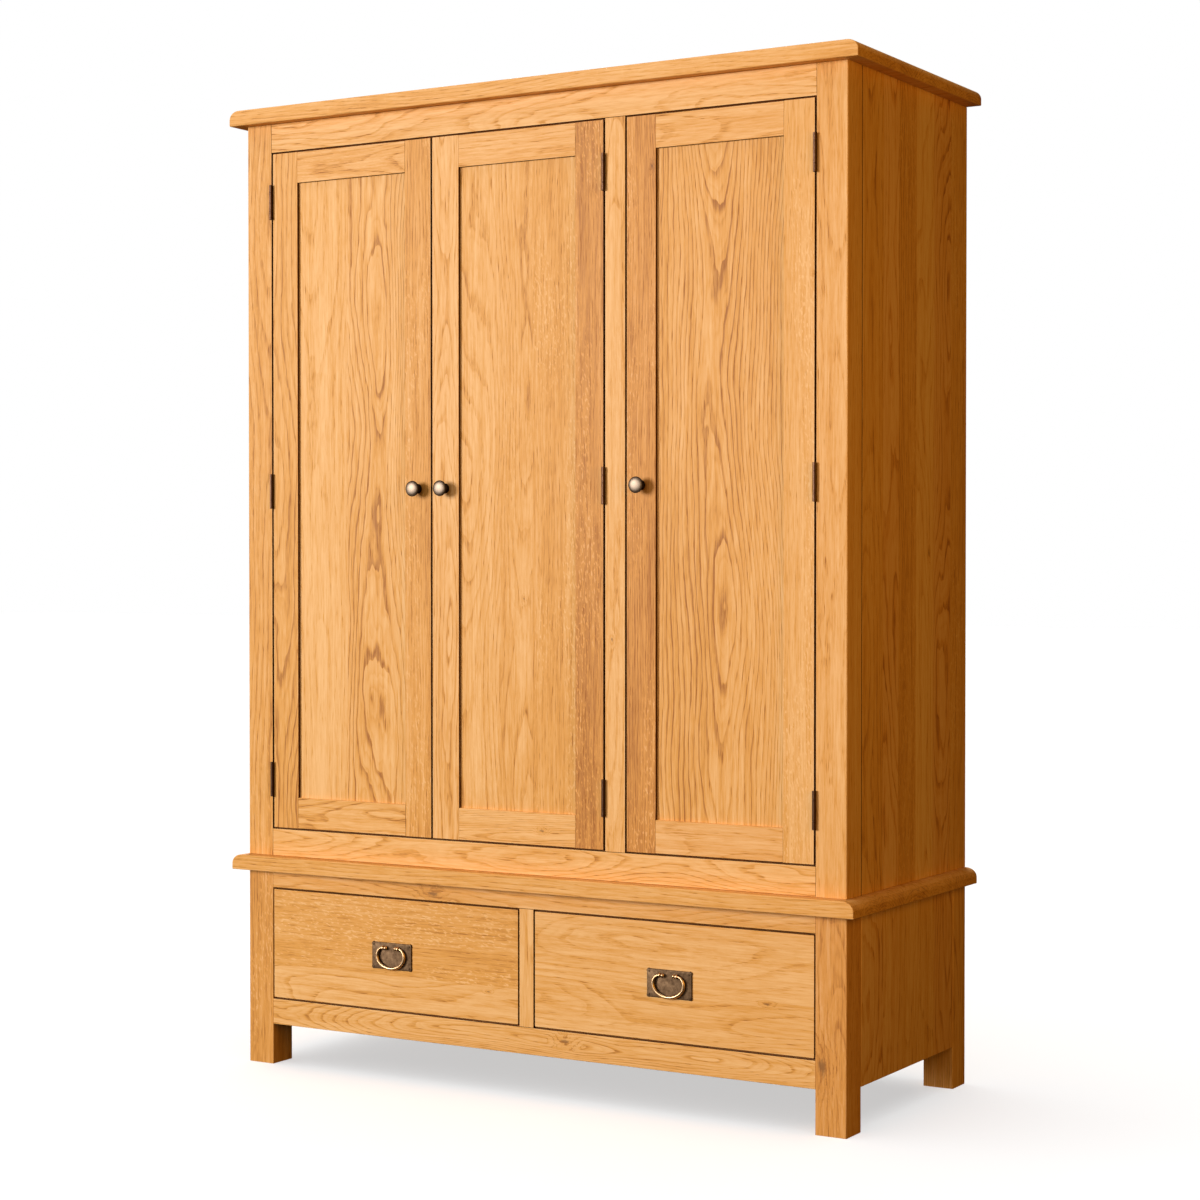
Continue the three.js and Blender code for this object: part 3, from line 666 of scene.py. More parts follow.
def build_plinth():
    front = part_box("base_top_rail")[0].y
    leg_looks = {
        "front_left": looks(quarter_sawn, -0.5, 0.3),
        "front_right": looks(plain_sawn, -0.9, 0.5, knot=((0.612, front, 0.119), 9 * MM)),
    }
    for side in SIDES:
        for place in ("front", "rear"):
            board_of(f"leg_{place}_{side}", Z, rounding=POST_ROUNDING, outer=OUTWARD[side],
                     **leg_looks.get(f"{place}_{side}", {}))
        build_plinth_side(side)
    # the rails' faces in the mouths of the drawer gaps get painted shade
    board_of("base_bottom_rail", X, mouth=True, stained=painted_gap_shade(Z, 1, front),
             **looks(fine_sawn, 0.2, knot=((0.085, front, 0.112), 5 * MM)))
    board_of("base_top_rail", X, mouth=True, stained=painted_gap_shade(Z, -1, front),
             **looks(plain_sawn, -0.5, 0.1, knot=((-0.212, front, 0.366), 6 * MM)))
    matched_boards("base_back", 13)
    build_divider()
    moulded_slab("base_slab")


def build_plinth_side(side):
    """The panel between two legs, with the drawer's guide and runner on its inner face."""
    node = f"base_side_{side}"
    low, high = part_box(node)
    leg_low, leg_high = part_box(f"leg_front_{side}")
    outer, leg_inner, tip = (low.x, leg_high.x, high.x) if side == "left" else (high.x, leg_low.x, low.x)
    inner = outer - OUTWARD[side] * PLINTH_PANEL
    depth = (low.y, high.y)
    runner_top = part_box("base_bottom_rail")[1].z
    runner_low = runner_top - RUNNER_HEIGHT
    panel = corners((outer, inner), depth, (low.z, high.z))
    guide = corners((inner, leg_inner), depth, (runner_low, runner_top + GUIDE_RISE))
    runner = corners((leg_inner, tip), depth, (runner_low, runner_top))
    board(node + "_wood", *panel, Z, "carcass", node, width=Y, staves=5, rounding=1.8 * MM)
    inside_board(node + "_guide", *guide, Y)
    inside_board(node + "_runner", *runner, Y)


def build_divider():
    """The post between the drawers, its web and the two runners beside the web."""
    low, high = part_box("drawer_divider")
    rail_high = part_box("base_bottom_rail")[1]
    post_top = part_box("base_top_rail")[0].z - GAP
    half_post, half_web = DIVIDER_POST / 2, DIVIDER_WEB / 2
    behind = (rail_high.y + GAP, high.y)
    post = corners((-half_post, half_post), (low.y, rail_high.y), (rail_high.z + GAP, post_top))
    # the stile's sides in the mouths of the drawer gaps get painted shade
    board("drawer_divider_stile", *post, Z, "carcass", "drawer_divider", mouth=True,
          stained=painted_gap_shade(X, 0, low.y), **looks(plain_sawn, 0.2))
    web = corners((-half_web, half_web), behind, (low.z, high.z))
    inside_board("drawer_divider_web", *web, Y, staves=2)
    for side, outward in OUTWARD.items():
        runner = corners((outward * half_web, outward * high.x), behind, (low.z, rail_high.z))
        inside_board(f"drawer_divider_runner_{side}", *runner, Y)


def build_upper():
    for side in SIDES:
        build_upper_side(side)
    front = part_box("bottom_rail")[0].y
    # the rail's top face and the stile's sides in the mouths of the door gaps get painted shade
    board_of("bottom_rail", X, mouth=True, stained=painted_gap_shade(Z, 1, front), **looks(fine_sawn, 0.2))
    build_top_rail()
    board_of("middle_stile", Z, mouth=True, stained=painted_gap_shade(X, 0, front),
             **looks(plain_sawn, 0.8, 0.05, knot=((0.186, front, 0.86), 2.2 * MM)))
    build_floor_and_partition()
    matched_boards("back_panel", 14)
    for number in (1, 2):
        low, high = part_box(f"shelf_{number}")
        inside_board(f"shelf_{number}_wood", low, high, X, f"shelf_{number}", staves=4)
        build_shelf_pins(number, low, high)
    build_hanging_rail()
    moulded_slab("top_slab")


def build_upper_side(side):
    """A front post and the side panel behind it."""
    post_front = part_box(f"front_post_{side}")[0].y
    # painted shade in the joint with the side panel and in the mouth of the gap to the doors
    joint, gap = painted_gap_shade(Y, 1), painted_gap_shade(X, -OUTWARD[side], post_front)
    board_of(f"front_post_{side}", Z, rounding=POST_ROUNDING, outer=OUTWARD[side], mouth=True,
             stained=lambda face: max(joint(face), gap(face)), **looks(plain_sawn, -0.3, 0.1))
    low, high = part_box(f"side_panel_{side}")
    outer_face = low.x if side == "left" else high.x
    # the panel's front edge, in the joint with the post, gets painted shade
    board_of(f"side_panel_{side}", Z, staves=6, slot="oak_panel", rounding=2.0 * MM,
             cuts=[plain_sawn, flat_sawn, rift_sawn], knot=((outer_face, 0.10, 1.02), 3.5 * MM),
             stained=painted_gap_shade(Y, -1))


def build_top_rail():
    """The rail, and the stop strip behind it that the closed doors meet."""
    low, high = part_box("top_rail")
    rail_back = low.y + TOP_RAIL
    rail_low = with_axis(low, Z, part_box("middle_stile")[1].z + GAP)
    # the rail's underside in the mouths of the door gaps gets painted shade
    board("top_rail_wood", rail_low, with_axis(high, Y, rail_back), X, "carcass", "top_rail",
          mouth=True, stained=painted_gap_shade(Z, -1, low.y), **looks(flat_sawn, 0.3))
    inside_board("door_stop_strip", with_axis(low, Y, rail_back + GAP), high, X)


def lipped_board(node, grain, seam, lip_limits, lip_top):
    """An inner board with a lipping in front of it."""
    low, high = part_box(node)
    lipping = corners(lip_limits, (low.y, seam), (low.z, lip_top))
    inside_board(node + "_wood", with_axis(low, Y, seam), high, grain, node, staves=5)
    inside_board(node + "_lipping", *lipping, grain)


def build_floor_and_partition():
    """The floor's lipping lies between the posts, and the partition's ends under the door stop."""
    post_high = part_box("front_post_left")[1]
    neck = -post_high.x - GAP
    lipped_board("floor_board", X, post_high.y + GAP, (-neck, neck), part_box("floor_board")[1].z)
    stop_low, stop_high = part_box("top_rail")
    low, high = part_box("partition")
    lipped_board("partition", Z, stop_high.y + GAP, (low.x, high.x), stop_low.z - GAP)


# ---------------- turned and swept pieces


def add_turned(bm, profile, steps, place, direction=(0, 0, 1), hollow=False):
    """Turns (radius, height) points about an axis that leaves a place in a direction. They start
    and end on the axis, or for a hollow shape run once round its section."""
    matrix = Vector(direction).to_track_quat("Z", "Y").to_matrix()
    rows = []
    for radius, height in profile:
        angles = [2 * math.pi * step / steps for step in range(steps)] if radius else [0.0]
        ring = [Vector((radius * math.cos(angle), radius * math.sin(angle), height)) for angle in angles]
        rows.append([bm.verts.new(matrix @ point + Vector(place)) for point in ring])
    uppers = rows[1:] + rows[:1] if hollow else rows[1:]
    for lower, upper in zip(rows, uppers):
        for step in range(steps):
            after = (step + 1) % steps
            around = [lower[step % len(lower)], lower[after % len(lower)]]
            around += [upper[after % len(upper)], upper[step % len(upper)]]
            unique = list(dict.fromkeys(around))
            if len(unique) > 2:
                bm.faces.new(unique)


def tube(bm, path, radii, sides):
    """A closed tube round a path with no stretch along Y, with a radius at each of its points."""
    up = Vector((0, 1, 0))
    rings = []
    for index, point in enumerate(path):
        before = path[max(index - 1, 0)]
        after = path[min(index + 1, len(path) - 1)]
        across = (after - before).normalized().cross(up).normalized()
        ring = []
        for side in range(sides):
            angle = 2 * math.pi * side / sides
            outward = math.cos(angle) * across + math.sin(angle) * up
            ring.append(bm.verts.new(point + radii[index] * outward))
        rings.append(ring)
    for lower, upper in zip(rings, rings[1:]):
        for side in range(sides):
            after = (side + 1) % sides
            bm.faces.new((lower[side], lower[after], upper[after], upper[side]))
    bm.faces.new(rings[0])
    bm.faces.new(rings[-1])


PIN_RADIUS = 2.5 * MM
PIN_LENGTH = 9 * MM
PIN_INSET = 38 * MM  # from a shelf's front or back edge
ROD_RADIUS = 12.5 * MM
SOCKET_DEPTH = 16 * MM


def build_shelf_pins(number, low, high):
    """Four brass pins that carry one shelf."""
    profile = [(0, 0), (PIN_RADIUS, 0), (PIN_RADIUS, PIN_LENGTH * 0.9)]
    profile += [(PIN_RADIUS * 0.7, PIN_LENGTH), (0, PIN_LENGTH)]
    bm = bmesh.new()
    for x, out in ((low.x, 1), (high.x, -1)):
        for y in (low.y + PIN_INSET, high.y - PIN_INSET):
            place = (x - out * GAP / 2, y, low.z - PIN_RADIUS - 0.1 * MM)
            add_turned(bm, profile, 16, place, (out, 0, 0))
    link_metal(to_mesh(bm, f"shelf_{number}_pins"), PIN_BRASS, lambda co, normal: 0.8)


def build_hanging_rail():
    """A steel tube that ends in two flanged sockets."""
    low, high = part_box("hanging_rail")
    flange = (high.z - low.z) / 2
    length = high.x - low.x
    half = [(0, 0), (flange * 0.97, 0), (flange, 0.6 * MM), (flange, 2.4 * MM), (flange * 0.93, 3.4 * MM)]
    half += [(ROD_RADIUS * 1.38, 4.0 * MM), (ROD_RADIUS * 1.28, 5.2 * MM), (ROD_RADIUS * 1.24, SOCKET_DEPTH)]
    half += [(ROD_RADIUS * 1.12, SOCKET_DEPTH + 0.8 * MM), (ROD_RADIUS, SOCKET_DEPTH + 0.8 * MM)]
    profile = half + [(radius, length - height) for radius, height in reversed(half)]
    bm = bmesh.new()
    add_turned(bm, profile, 48, with_axis((low + high) / 2, X, low.x), (1, 0, 0))
    mesh = to_mesh(bm, "hanging_rail_steel")
    smooth(mesh)
    link(mesh, STEEL, "carcass", "hanging_rail")


# ---------------- doors


PANEL_REACH = 7.5 * MM  # how far a panel's edge lies inside its groove
DOOR_ROUNDING = 0.9 * MM
DOOR_SEAM = 0.05 * MM  # between a rail's end and its stile


def painted_door_shade(outer_low, outer_high, light_low, light_high):
    """The mouth of each gap round a door, and the shadowed walls of its recess, get painted shade as dark as a
    deep gap.
    """
    lip = 1.0 * MM  # how far the rounded edges reach into the face
    near = 0.4 * MM

    def stain(face):
        x, z = face.center.x, face.center.z
        to_edge = min(x - outer_low.x, outer_high.x - x, z - outer_low.z, outer_high.z - z)
        # painted shade on the rounded edges and edge faces in the mouth of the gap round the door
        if to_edge < lip and abs(face.normal.y) < 0.97 and face.center.y < outer_low.y + SHADE_PAINT_REACH:
            return PAINTED_SHADE
        # painted shadow on the left, right and top walls of the recess; the bottom one faces up into the light
        # and keeps its colour
        wall = min(abs(x - light_low.x), abs(x - light_high.x), abs(z - light_high.z)) < near
        return PAINTED_SHADE if wall and abs(face.normal.y) < 0.35 else 0.0
    return stain


DOOR_LOOKS = {
    "left": {
        "panel": {"staves": 2, "cuts": [plain_sawn, flat_sawn], "tones": [(0.3, 0.0), (0.0, 0.0)]},
        "stile_left": looks(flat_sawn, -0.9),
        "stile_right": looks(rift_sawn, -0.1, 0.1),
        "rail_bottom": looks(flat_sawn, 0.0),
        "rail_top": looks(plain_sawn, 0.3, 0.1),
    },
    "middle": {
        "panel": {"seams": [0.36, 0.62], "cuts": [plain_sawn, plain_sawn, rift_sawn],
                  "tones": [(0.1, 0.0), (-0.2, 0.0), (0.0, 0.0)], "dot": (0.55, 0.33, 1.6)},
        "stile_left": looks(fine_sawn, 0.35, 0.1),
        "stile_right": looks(quarter_sawn, -1.3, 0.35),
        "rail_bottom": looks(fine_sawn, 0.35, dot=(0.72, 0.45, 2.6)),
        "rail_top": looks(plain_sawn, 0.3, 0.1),
    },
    "right": {
        "panel": looks(flat_sawn, -0.45),
        "stile_left": looks(rift_sawn, -1.0, 0.4, dot=(0.88, 0.93, 2.4)),
        "stile_right": looks(quarter_sawn, 1.2),
        "rail_bottom": looks(plain_sawn, -0.2, 0.2),
        "rail_top": looks(plain_sawn, 0.2, 0.1),
    },
}


def with_knot(options, low, high):
    """Turns a small knot, given as dot in shares of width and height and in mm, into a place."""
    options = dict(options)
    if "dot" in options:
        across, up, radius = options.pop("dot")
        spot = (low.x + across * (high.x - low.x), low.y, low.z + up * (high.z - low.z))
        options["knot"] = (spot, radius * MM)
    return options


def build_door(door):
    body = f"door_{door}"
    low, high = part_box(f"{body}_frame")
    panel_low, panel_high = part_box(f"{body}_panel")
    reach = Vector((PANEL_REACH, 0, PANEL_REACH))
    light_low, light_high = panel_low + reach, panel_high - reach
    # painted shade for the gaps round this door and for its recess walls
    stain = painted_door_shade(low, high, light_low, light_high)
    depth = (low.y, high.y)
    stiles = {"left": (low.x, light_low.x), "right": (light_high.x, high.x)}
    for name, limits in stiles.items():
        spot = corners(limits, depth, (low.z, high.z))
        board(f"{body}_stile_{name}", *spot, Z, body, f"{body}_frame" if name == "left" else None,
              rounding=DOOR_ROUNDING, mouth=True, stained=stain,
              **with_knot(DOOR_LOOKS[door][f"stile_{name}"], *spot))
    rails = {"bottom": (low.z, light_low.z), "top": (light_high.z, high.z)}
    for name, limits in rails.items():
        spot = corners((light_low.x + DOOR_SEAM, light_high.x - DOOR_SEAM), depth, limits)
        board(f"{body}_rail_{name}", *spot, X, body, rounding=DOOR_ROUNDING, end_rounding=0.2 * MM,
              mouth=True, stained=stain, **with_knot(DOOR_LOOKS[door][f"rail_{name}"], *spot))
    board(f"{body}_panel_wood", panel_low, panel_high, Z, body, f"{body}_panel", slot="oak_panel",
          rounding=0.5 * MM, **with_knot(DOOR_LOOKS[door]["panel"], panel_low, panel_high))
    build_knob(f"{body}_knob", body)
    for level in LEVELS:
        build_hinge(door, level)
    build_catch(door)


# Shares of the knob's radius and of its reach: foot, waist and the hollow under the rim.
KNOB_STEM = [
    (0, 0), (0.60, 0), (0.62, 0.02), (0.60, 0.06), (0.46, 0.10),
    (0.38, 0.18), (0.33, 0.30), (0.34, 0.44), (0.44, 0.56), (0.66, 0.66),
]


def build_knob(node, body):
    """A mushroom knob: foot, waisted stem, undercut rim and a low dome, polished on the dome only."""
    low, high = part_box(node)
    middle = (low + high) / 2
    reach = high.y - low.y
    radius = (high.x - low.x) / 2
    outline = [*KNOB_STEM, *arc_points((0.91, 0.775), (0.09, 0.07), -90, 90, 8)]
    outline += [(0.885, 0.838), (0.870, 0.842)]
    outline += [*arc_points((0, 0.842), (0.860, 0.130), 6, 90, 14)[:-1], (0, 0.972)]
    profile = [(radius * across, reach * along) for across, along in outline]
    bm = bmesh.new()
    add_turned(bm, profile, 56, with_axis(middle, Y, high.y), (0, -1, 0))

    def polish(co, normal):
        off_axis = math.hypot(co.x - middle.x, co.z - middle.z) / radius
        on_dome = high.y - co.y > reach * 0.80
        return 1.0 - 0.95 * ramp(off_axis, 0.80, 0.92) if on_dome else 0.05
    link_metal(to_mesh(bm, node + "_brass"), KNOB_BRASS, polish, body, node)


KNUCKLE_END = 15 * MM  # height of each of a hinge's two end knuckles
KNUCKLE_GAP = 0.3 * MM
KNUCKLE_LIP = 0.45 * MM
KNUCKLE_BORE = 1.85 * MM
HINGE_PIN = 1.5 * MM
LEAF_NEAR, LEAF_FAR = 0.2 * MM, 1.2 * MM  # a leaf's two faces, from the hinge's axis
CATCH_INSET = 42 * MM  # from a door's closing edge to the middle of its catch
CATCH_WIDTH = 32 * MM


def build_hinge(door, level):
    """Both leaves of a butt hinge, with rounded knuckles round a pin."""
    stem = f"hinge_{door}_{level}"
    axis = Vector(JOINTS[f"door_{door}_hinge"]["pos_m"])
    low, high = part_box(stem + "_frame_leaf")
    bottom, top = low.z, high.z
    knuckle = axis.y - low.y
    leaf_front = axis.y + knuckle + GAP
    end, breath = KNUCKLE_END, KNUCKLE_GAP / 2
    spans = {"frame": [(bottom, bottom + end - breath), (top - end + breath, top)],
             "door": [(bottom + end + breath, top - end - breath)]}
    door_side = 1 if door == "left" else -1
    for leaf, body, side in (("frame", "carcass", -door_side), ("door", f"door_{door}", door_side)):
        node = f"{stem}_{leaf}_leaf"
        faces = (axis.x + side * LEAF_NEAR, axis.x + side * LEAF_FAR)
        bm = bmesh.new()
        for span in spans[leaf]:
            add_knuckle(bm, axis, knuckle, *span, hollow=leaf == "door")
        if leaf == "frame":
            pin = [(0, 0), (HINGE_PIN, 0), (HINGE_PIN, top - bottom), (0, top - bottom)]
            add_turned(bm, pin, 24, (axis.x, axis.y, bottom))
        plate = box_bmesh(*corners(faces, (leaf_front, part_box(node)[1].y), (bottom, top)))
        bevel(plate, [e for e in plate.edges if is_corner(e) and runs_along(e, X)], 1.5 * MM, 4)
        merge(bm, plate)
        for span in spans[leaf]:
            neck = corners(faces, (axis.y + knuckle * 0.62, leaf_front + MM), span)
            merge(bm, box_bmesh(*neck))
        link_metal(to_mesh(bm, f"{stem}_{leaf}_brass"), HINGE_BRASS,
                   lambda co, normal: ramp(axis.y - co.y, 0.0, knuckle) * 0.9, body, node)


def add_knuckle(bm, axis, radius, bottom, top, hollow):
    """A knuckle with rounded lips; the door's knuckle is bored for the pin."""
    height = top - bottom
    outer = [(radius - KNUCKLE_LIP, 0), (radius, KNUCKLE_LIP)]
    outer += [(radius, height - KNUCKLE_LIP), (radius - KNUCKLE_LIP, height)]
    inner = KNUCKLE_BORE if hollow else 0
    add_turned(bm, [(inner, 0), *outer, (inner, height)], 32, (axis.x, axis.y, bottom), hollow=hollow)


def build_catch(door):
    """A small magnetic catch under the door stop, near the door's closing edge."""
    low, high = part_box(f"door_{door}_frame")
    stop_low, stop_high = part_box("top_rail")
    middle = high.x - CATCH_INSET if door == "left" else low.x + CATCH_INSET
    bm = box_bmesh(*corners(
        (middle - CATCH_WIDTH / 2, middle + CATCH_WIDTH / 2),
        (high.y + 1.2 * MM, stop_high.y + 6 * MM),
        (stop_low.z - 12 * MM, stop_low.z - GAP),
    ))
    bevel(bm, [e for e in bm.edges if is_corner(e)], 1.5 * MM, 3)
    link_metal(to_mesh(bm, f"door_{door}_catch"), KNOB_BRASS, lambda co, normal: 0.4)


# ---------------- drawers


BOX_WALL = 12 * MM
BOX_BACK_DROP = 6 * MM  # how much lower the back of a drawer's box is than its sides
BOX_BOTTOM_RISE = 4 * MM

DRAWER_LOOKS = {
    "left": {"seams": [0.31], "cuts": [plain_sawn, quarter_sawn], "tones": [(0.9, 0.0), (0.1, 0.0)],
             "dot": (0.885, 0.26, 1.8)},
    "right": {"seams": [0.42], "cuts": [plain_sawn], "tones": [(0.0, 0.0), (0.5, 0.0)],
              "dot": (0.84, 0.40, 3.0)},
}


def build_drawer(side):
    body = f"drawer_{side}"
    low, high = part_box(f"{body}_front")

    # painted shade on the drawer front's faces in the mouth of the gap round it
    def stain(face):
        return PAINTED_SHADE if abs(face.normal.y) < 0.92 and face.center.y < low.y + SHADE_PAINT_REACH else 0.0
    board_of(f"{body}_front", X, body, rounding=1.6 * MM, end_rounding=1.0 * MM, mouth=True,
             stained=stain, **with_knot(DRAWER_LOOKS[side], low, high))
    build_drawer_box(f"{body}_box", body)
    axis = Vector(JOINTS[f"ring_{side}_swing"]["pos_m"])
    build_plate(body, axis)
    build_ring(side, axis)


def build_drawer_box(node, body):
    """Two sides, a back and a bottom let in above the lower edge."""
    low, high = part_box(node)
    depth = (low.y, high.y)
    for name, limits in (("left", (low.x, low.x + BOX_WALL)), ("right", (high.x - BOX_WALL, high.x))):
        side = corners(limits, depth, (low.z, high.z))
        inside_board(f"{node}_side_{name}", *side, Y, node if name == "left" else None, body)
    inner = (low.x + BOX_WALL + GAP, high.x - BOX_WALL - GAP)
    back = corners(inner, (high.y - BOX_WALL, high.y), (low.z, high.z - BOX_BACK_DROP))
    inside_board(f"{node}_back", *back, X, body=body)
    bottom_limits = (low.z + BOX_BOTTOM_RISE, low.z + BOX_WALL - MM)
    bottom = corners(inner, (low.y, high.y - BOX_WALL - GAP), bottom_limits)
    inside_board(f"{node}_bottom", *bottom, X, body=body, staves=4)


PLATE_THICKNESS = 2.5 * MM
PLATE_EAR = 4.2 * MM  # radius of the round ear at each corner
NAIL_OUTLINE = [(0, 0), (2.0 * MM, 0), (1.8 * MM, 0.5 * MM), (1.1 * MM, 0.9 * MM), (0, 1.0 * MM)]
NAIL_SHADOW = 2.3 * MM  # radius of the dark ring round a nail
EYE_SPACING = 35 * MM
EYE_WIDTH = 4.0 * MM
EYE_RADIUS, EYE_BORE = 4.2 * MM, 2.4 * MM
EYE_LIP = 0.6 * MM


def plate_outline(half_width, half_height):
    """A rectangle with a small round ear at each corner and slightly sunk edges between."""
    points = []
    for sx, sz, start in ((1, 1, 0), (-1, 1, 90), (-1, -1, 180), (1, -1, 270)):
        centre = (sx * (half_width - PLATE_EAR), sz * (half_height - PLATE_EAR))
        points += arc_points(centre, (PLATE_EAR, PLATE_EAR), start - 32, start + 122, 12)
    return points


def build_plate(body, axis):
    """The back plate with its nailed ears, and the two eyes that hold the ring."""
    node = f"{body}_plate"
    low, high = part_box(node)
    middle = (low + high) / 2
    half_width, half_height = (high.x - low.x) / 2, (high.z - low.z) / 2
    plate_front = high.y - PLATE_THICKNESS
    bm = bmesh.new()
    outline = plate_outline(half_width, half_height)
    back = bm.faces.new([bm.verts.new((middle.x + u, high.y, middle.z + v)) for u, v in outline])
    grown = bmesh.ops.extrude_face_region(bm, geom=[back])["geom"]
    front_verts = [item for item in grown if isinstance(item, bmesh.types.BMVert)]
    bmesh.ops.translate(bm, verts=front_verts, vec=(0, -PLATE_THICKNESS, 0))
    bevel(bm, [e for e in bm.edges if all(v in front_verts for v in e.verts)], 0.9 * MM, 3)
    nails = []
    for sx in (-1, 1):
        for sz in (-1, 1):
            across, up = sx * (half_width - PLATE_EAR - MM), sz * (half_height - PLATE_EAR - MM)
            nails.append(Vector((middle.x + across, plate_front + 0.1 * MM, middle.z + up)))
            add_turned(bm, NAIL_OUTLINE, 16, nails[-1], (0, -1, 0))

    def polish(co, normal):
        to_edge = min(half_width - abs(co.x - middle.x), half_height - abs(co.z - middle.z))
        if any(math.hypot(co.x - nail.x, co.z - nail.z) < NAIL_SHADOW for nail in nails):
            return 0.30 if normal.y < -0.8 else 0.0
        return 0.55 * ramp(to_edge, 0.3 * MM, 2.2 * MM)
    link_metal(to_mesh(bm, node + "_brass"), PLATE_BRASS, polish, body, node)

    bm = bmesh.new()
    for sign in (-1, 1):
        add_eye(bm, axis, axis.x + sign * EYE_SPACING / 2, plate_front)
    link_metal(to_mesh(bm, f"{body}_eyes_brass"), RING_BRASS,
               lambda co, normal: 0.9 * ramp(high.y - co.y, 3.5 * MM, 7 * MM), body)


def add_eye(bm, axis, x, plate_front):
    """A turned eye with a bore for the ring's end, on a neck that flares into the plate."""
    half = EYE_WIDTH / 2
    right = [(EYE_RADIUS, half - EYE_LIP), (EYE_RADIUS - EYE_LIP, half), (EYE_BORE, half - EYE_LIP / 2)]
    section = [(radius, -along) for radius, along in reversed(right)] + right
    add_turned(bm, section, 28, (x, axis.y, axis.z), (1, 0, 0), hollow=True)
    reach = plate_front - (axis.y + EYE_RADIUS * 0.80)
    neck = [(0, 0), (3.4 * MM, 0), (2.6 * MM, reach * 0.3), (2.0 * MM, reach * 0.7)]
    neck += [(1.9 * MM, reach), (0, reach)]
    add_turned(bm, neck, 20, (x, plate_front + 0.1 * MM, axis.z), (0, -1, 0))


RING_THICK, RING_THIN = 3.2 * MM, 1.8 * MM  # radii of the bow below and of its ends
BALL_RADIUS = 3.8 * MM
BALL_MIDDLE = 11.6 * MM  # from the middle of the ring to each ball
SHOULDER = 18.8 * MM  # where the straight ends turn down into the bow
WIDEST_DROP = 15.8 * MM


def build_ring(side, axis):
    """A drop ring: a bow that thins towards its ends, which pass through the eyes and end in balls."""
    node = f"drawer_{side}_ring"
    low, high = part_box(node)
    half = (high.x - low.x) / 2 - RING_THICK
    bow_drop = axis.z - low.z - RING_THICK - WIDEST_DROP
    right = [(BALL_MIDDLE, 0.0), (16 * MM, 0.0)]
    right += arc_points((SHOULDER, -WIDEST_DROP), (half - SHOULDER, WIDEST_DROP), 90, 0, 30)
    right += arc_points((0.0, -WIDEST_DROP), (half, bow_drop), 0, -90, 40)[1:]
    left = [(-u, v) for u, v in right[::-1][1:]]
    points = [Vector((axis.x + u, axis.y, axis.z + v)) for u, v in right + left]
    lengths = [0.0]
    for before, after in zip(points, points[1:]):
        lengths.append(lengths[-1] + (after - before).length)
    radii = []
    for length in lengths:
        swell = ramp(min(length, lengths[-1] - length) / (lengths[-1] / 2), 0.06, 0.40)
        radii.append(RING_THIN + (RING_THICK - RING_THIN) * swell * swell * (3 - 2 * swell))
    bm = bmesh.new()
    tube(bm, points, radii, 24)
    for sign in (-1, 1):
        place = Matrix.Translation((axis.x + sign * BALL_MIDDLE, axis.y, axis.z))
        bmesh.ops.create_icosphere(bm, subdivisions=3, radius=BALL_RADIUS, matrix=place)
    link_metal(to_mesh(bm, node + "_brass"), RING_BRASS,
               lambda co, normal: 0.15 + 0.85 * ramp(axis.y - co.y, -2.0 * MM, 0.5 * MM),
               f"ring_{side}", node)


# ---------------- stage


FLOOR_SIZE = 30.0  # from the middle to each side
FLOOR_DROP = 0.2 * MM  # keeps the floor clear of the feet
WHITE = (1, 1, 1)
SOFT_WHITE = (1.0, 0.98, 0.95)
WARM = (1.0, 0.95, 0.88)
ORANGE = (1.0, 0.55, 0.07)
DIM_ROOM = (0.030, 0.022, 0.012)
CAMERA_PLACE = (2.4873, -4.1543, 1.0087)
CAMERA_PITCH, CAMERA_TURN = 89.04, 30.82  # degrees: from straight down, and to the left of +Y


def floor_material():
    s = Shader("studio_floor")
    cloud = s.noise(s.scaled(s.place(), 0.6, 0.6, 0.6))
    tint = s.colours(cloud, [(0.3, (0.86, 0.86, 0.86)), (0.7, (0.90, 0.90, 0.90))])
    return s.finish(Base_Color=tint, Roughness=0.8)


def build_floor_stage():
    """A floor that the camera sees, and that throws no light on the object."""
    signs = ((-1, -1), (1, -1), (1, 1), (-1, 1))
    mesh = bpy.data.meshes.new("studio_floor")
    mesh.from_pydata([(FLOOR_SIZE * x, FLOOR_SIZE * y, 0) for x, y in signs], [], [(0, 1, 2, 3)])
    mesh.materials.append(floor_material())
    floor = bpy.data.objects.new("studio_floor", mesh)
    floor.location.z = -FLOOR_DROP
    bpy.context.scene.collection.objects.link(floor)
    floor.visible_diffuse = False
    floor.visible_glossy = False
    return floor


def add_light(name, kind, direction, distance, energy, colour, receivers, **settings):
    """A soft light that looks at the middle of the object from a direction."""
    data = bpy.data.lights.new(name, kind)
    data.energy = energy
    data.color = colour
    for setting, value in settings.items():
        setattr(data, setting, value)
    lamp = bpy.data.objects.new(name, data)
    away = Vector(direction).normalized()
    lamp.location = Vector((0, 0, cad_box[1].z * 0.55)) + away * distance
    lamp.rotation_euler = away.to_track_quat("Z", "Y").to_euler()
    bpy.context.scene.collection.objects.link(lamp)
    lamp.light_linking.receiver_collection = receivers


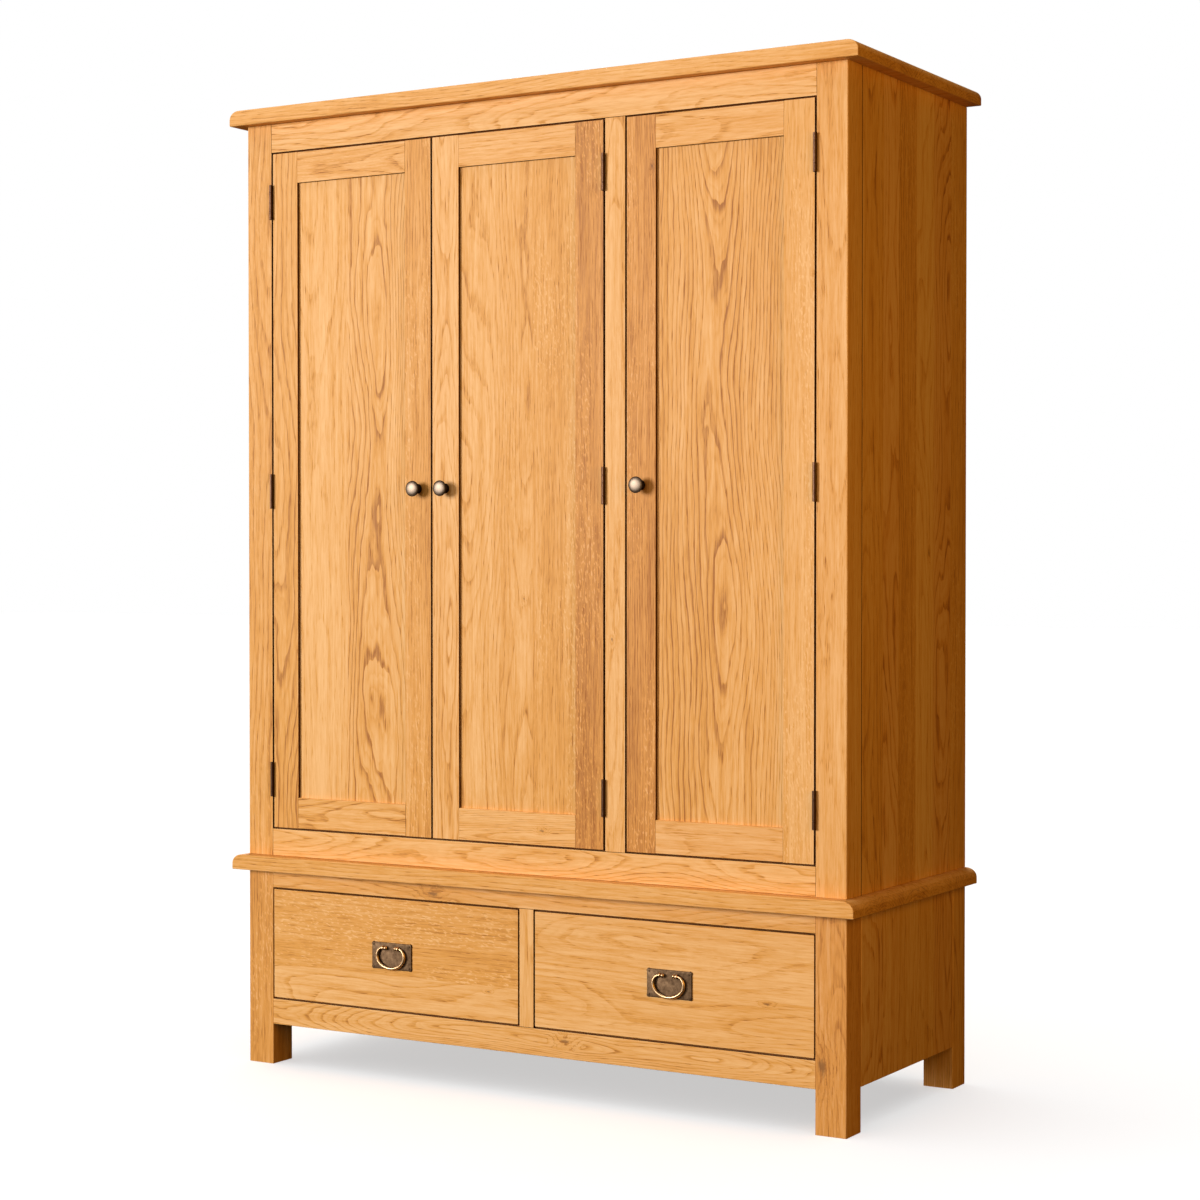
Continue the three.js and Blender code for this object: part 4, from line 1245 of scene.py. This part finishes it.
def build_world():
    """White where the camera looks past the object, and a weak warm light for everything else."""
    world = bpy.data.worlds.new("studio")
    bpy.context.scene.world = world
    world.use_nodes = True
    nodes, links = world.node_tree.nodes, world.node_tree.links
    path = nodes.new("ShaderNodeLightPath")
    mix = nodes.new("ShaderNodeMix")
    mix.data_type = "RGBA"
    for socket, colour in zip([s for s in mix.inputs if s.type == "RGBA"], (DIM_ROOM, WHITE)):
        socket.default_value = (*colour, 1)
    links.new(path.outputs["Is Camera Ray"], mix.inputs["Factor"])
    mixed = next(socket for socket in mix.outputs if socket.type == "RGBA")
    links.new(mixed, nodes["Background"].inputs["Color"])


def build_studio(floor):
    """A broad key from the front left, weak fills round the object, and even light on the floor."""
    floor_only = bpy.data.collections.new("floor_only")
    floor_only.objects.link(floor)
    object_only = bpy.data.collections.new("object_only")
    for piece in bpy.context.scene.objects:
        if piece.type == "MESH" and piece is not floor:
            object_only.objects.link(piece)
    for name, direction, distance, size, energy, colour in (
        ("key", (-4.0, -6.2, 1.1), 10.0, 4.0, 850, SOFT_WHITE),
        ("front_fill", (0.4, -6.0, 0.4), 6.0, 3.2, 66, WARM),
        ("back_fill", (-3.0, 5.0, 3.4), 6.4, 2.4, 340, WARM),
        ("top_fill", (-0.1, -0.1, 1.0), 4.0, 3.2, 60, SOFT_WHITE),
        ("side_fill", (1.0, -0.45, 0.15), 3.4, 2.4, 32, ORANGE),
    ):
        add_light(name, "AREA", direction, distance, energy, colour, object_only, shape="DISK", size=size)
    add_light("floor_soft", "SUN", (-0.3, -0.1, 1.0), 4.0, 1.9, WHITE, floor_only, angle=math.radians(120))
    add_light("floor_even", "SUN", (0.0, 0.0, 1.0), 4.0, 2.1, WHITE, floor_only, use_shadow=False)
    build_world()


def build_camera():
    """At about 1 m above the floor, 4.8 m away, to the right of the front."""
    data = bpy.data.cameras.new("camera")
    data.sensor_width = 36.0
    data.lens = 74.3
    camera = bpy.data.objects.new("camera", data)
    camera.location = CAMERA_PLACE
    camera.rotation_euler = (math.radians(CAMERA_PITCH), 0, math.radians(CAMERA_TURN))
    bpy.context.scene.collection.objects.link(camera)
    bpy.context.scene.camera = camera
    bpy.context.scene.view_settings.view_transform = "Standard"


# ---------------- the whole scene

build_plinth()
build_upper()
for door in DOORS:
    build_door(door)
for side in SIDES:
    build_drawer(side)
floor = build_floor_stage()
build_studio(floor)
build_camera()
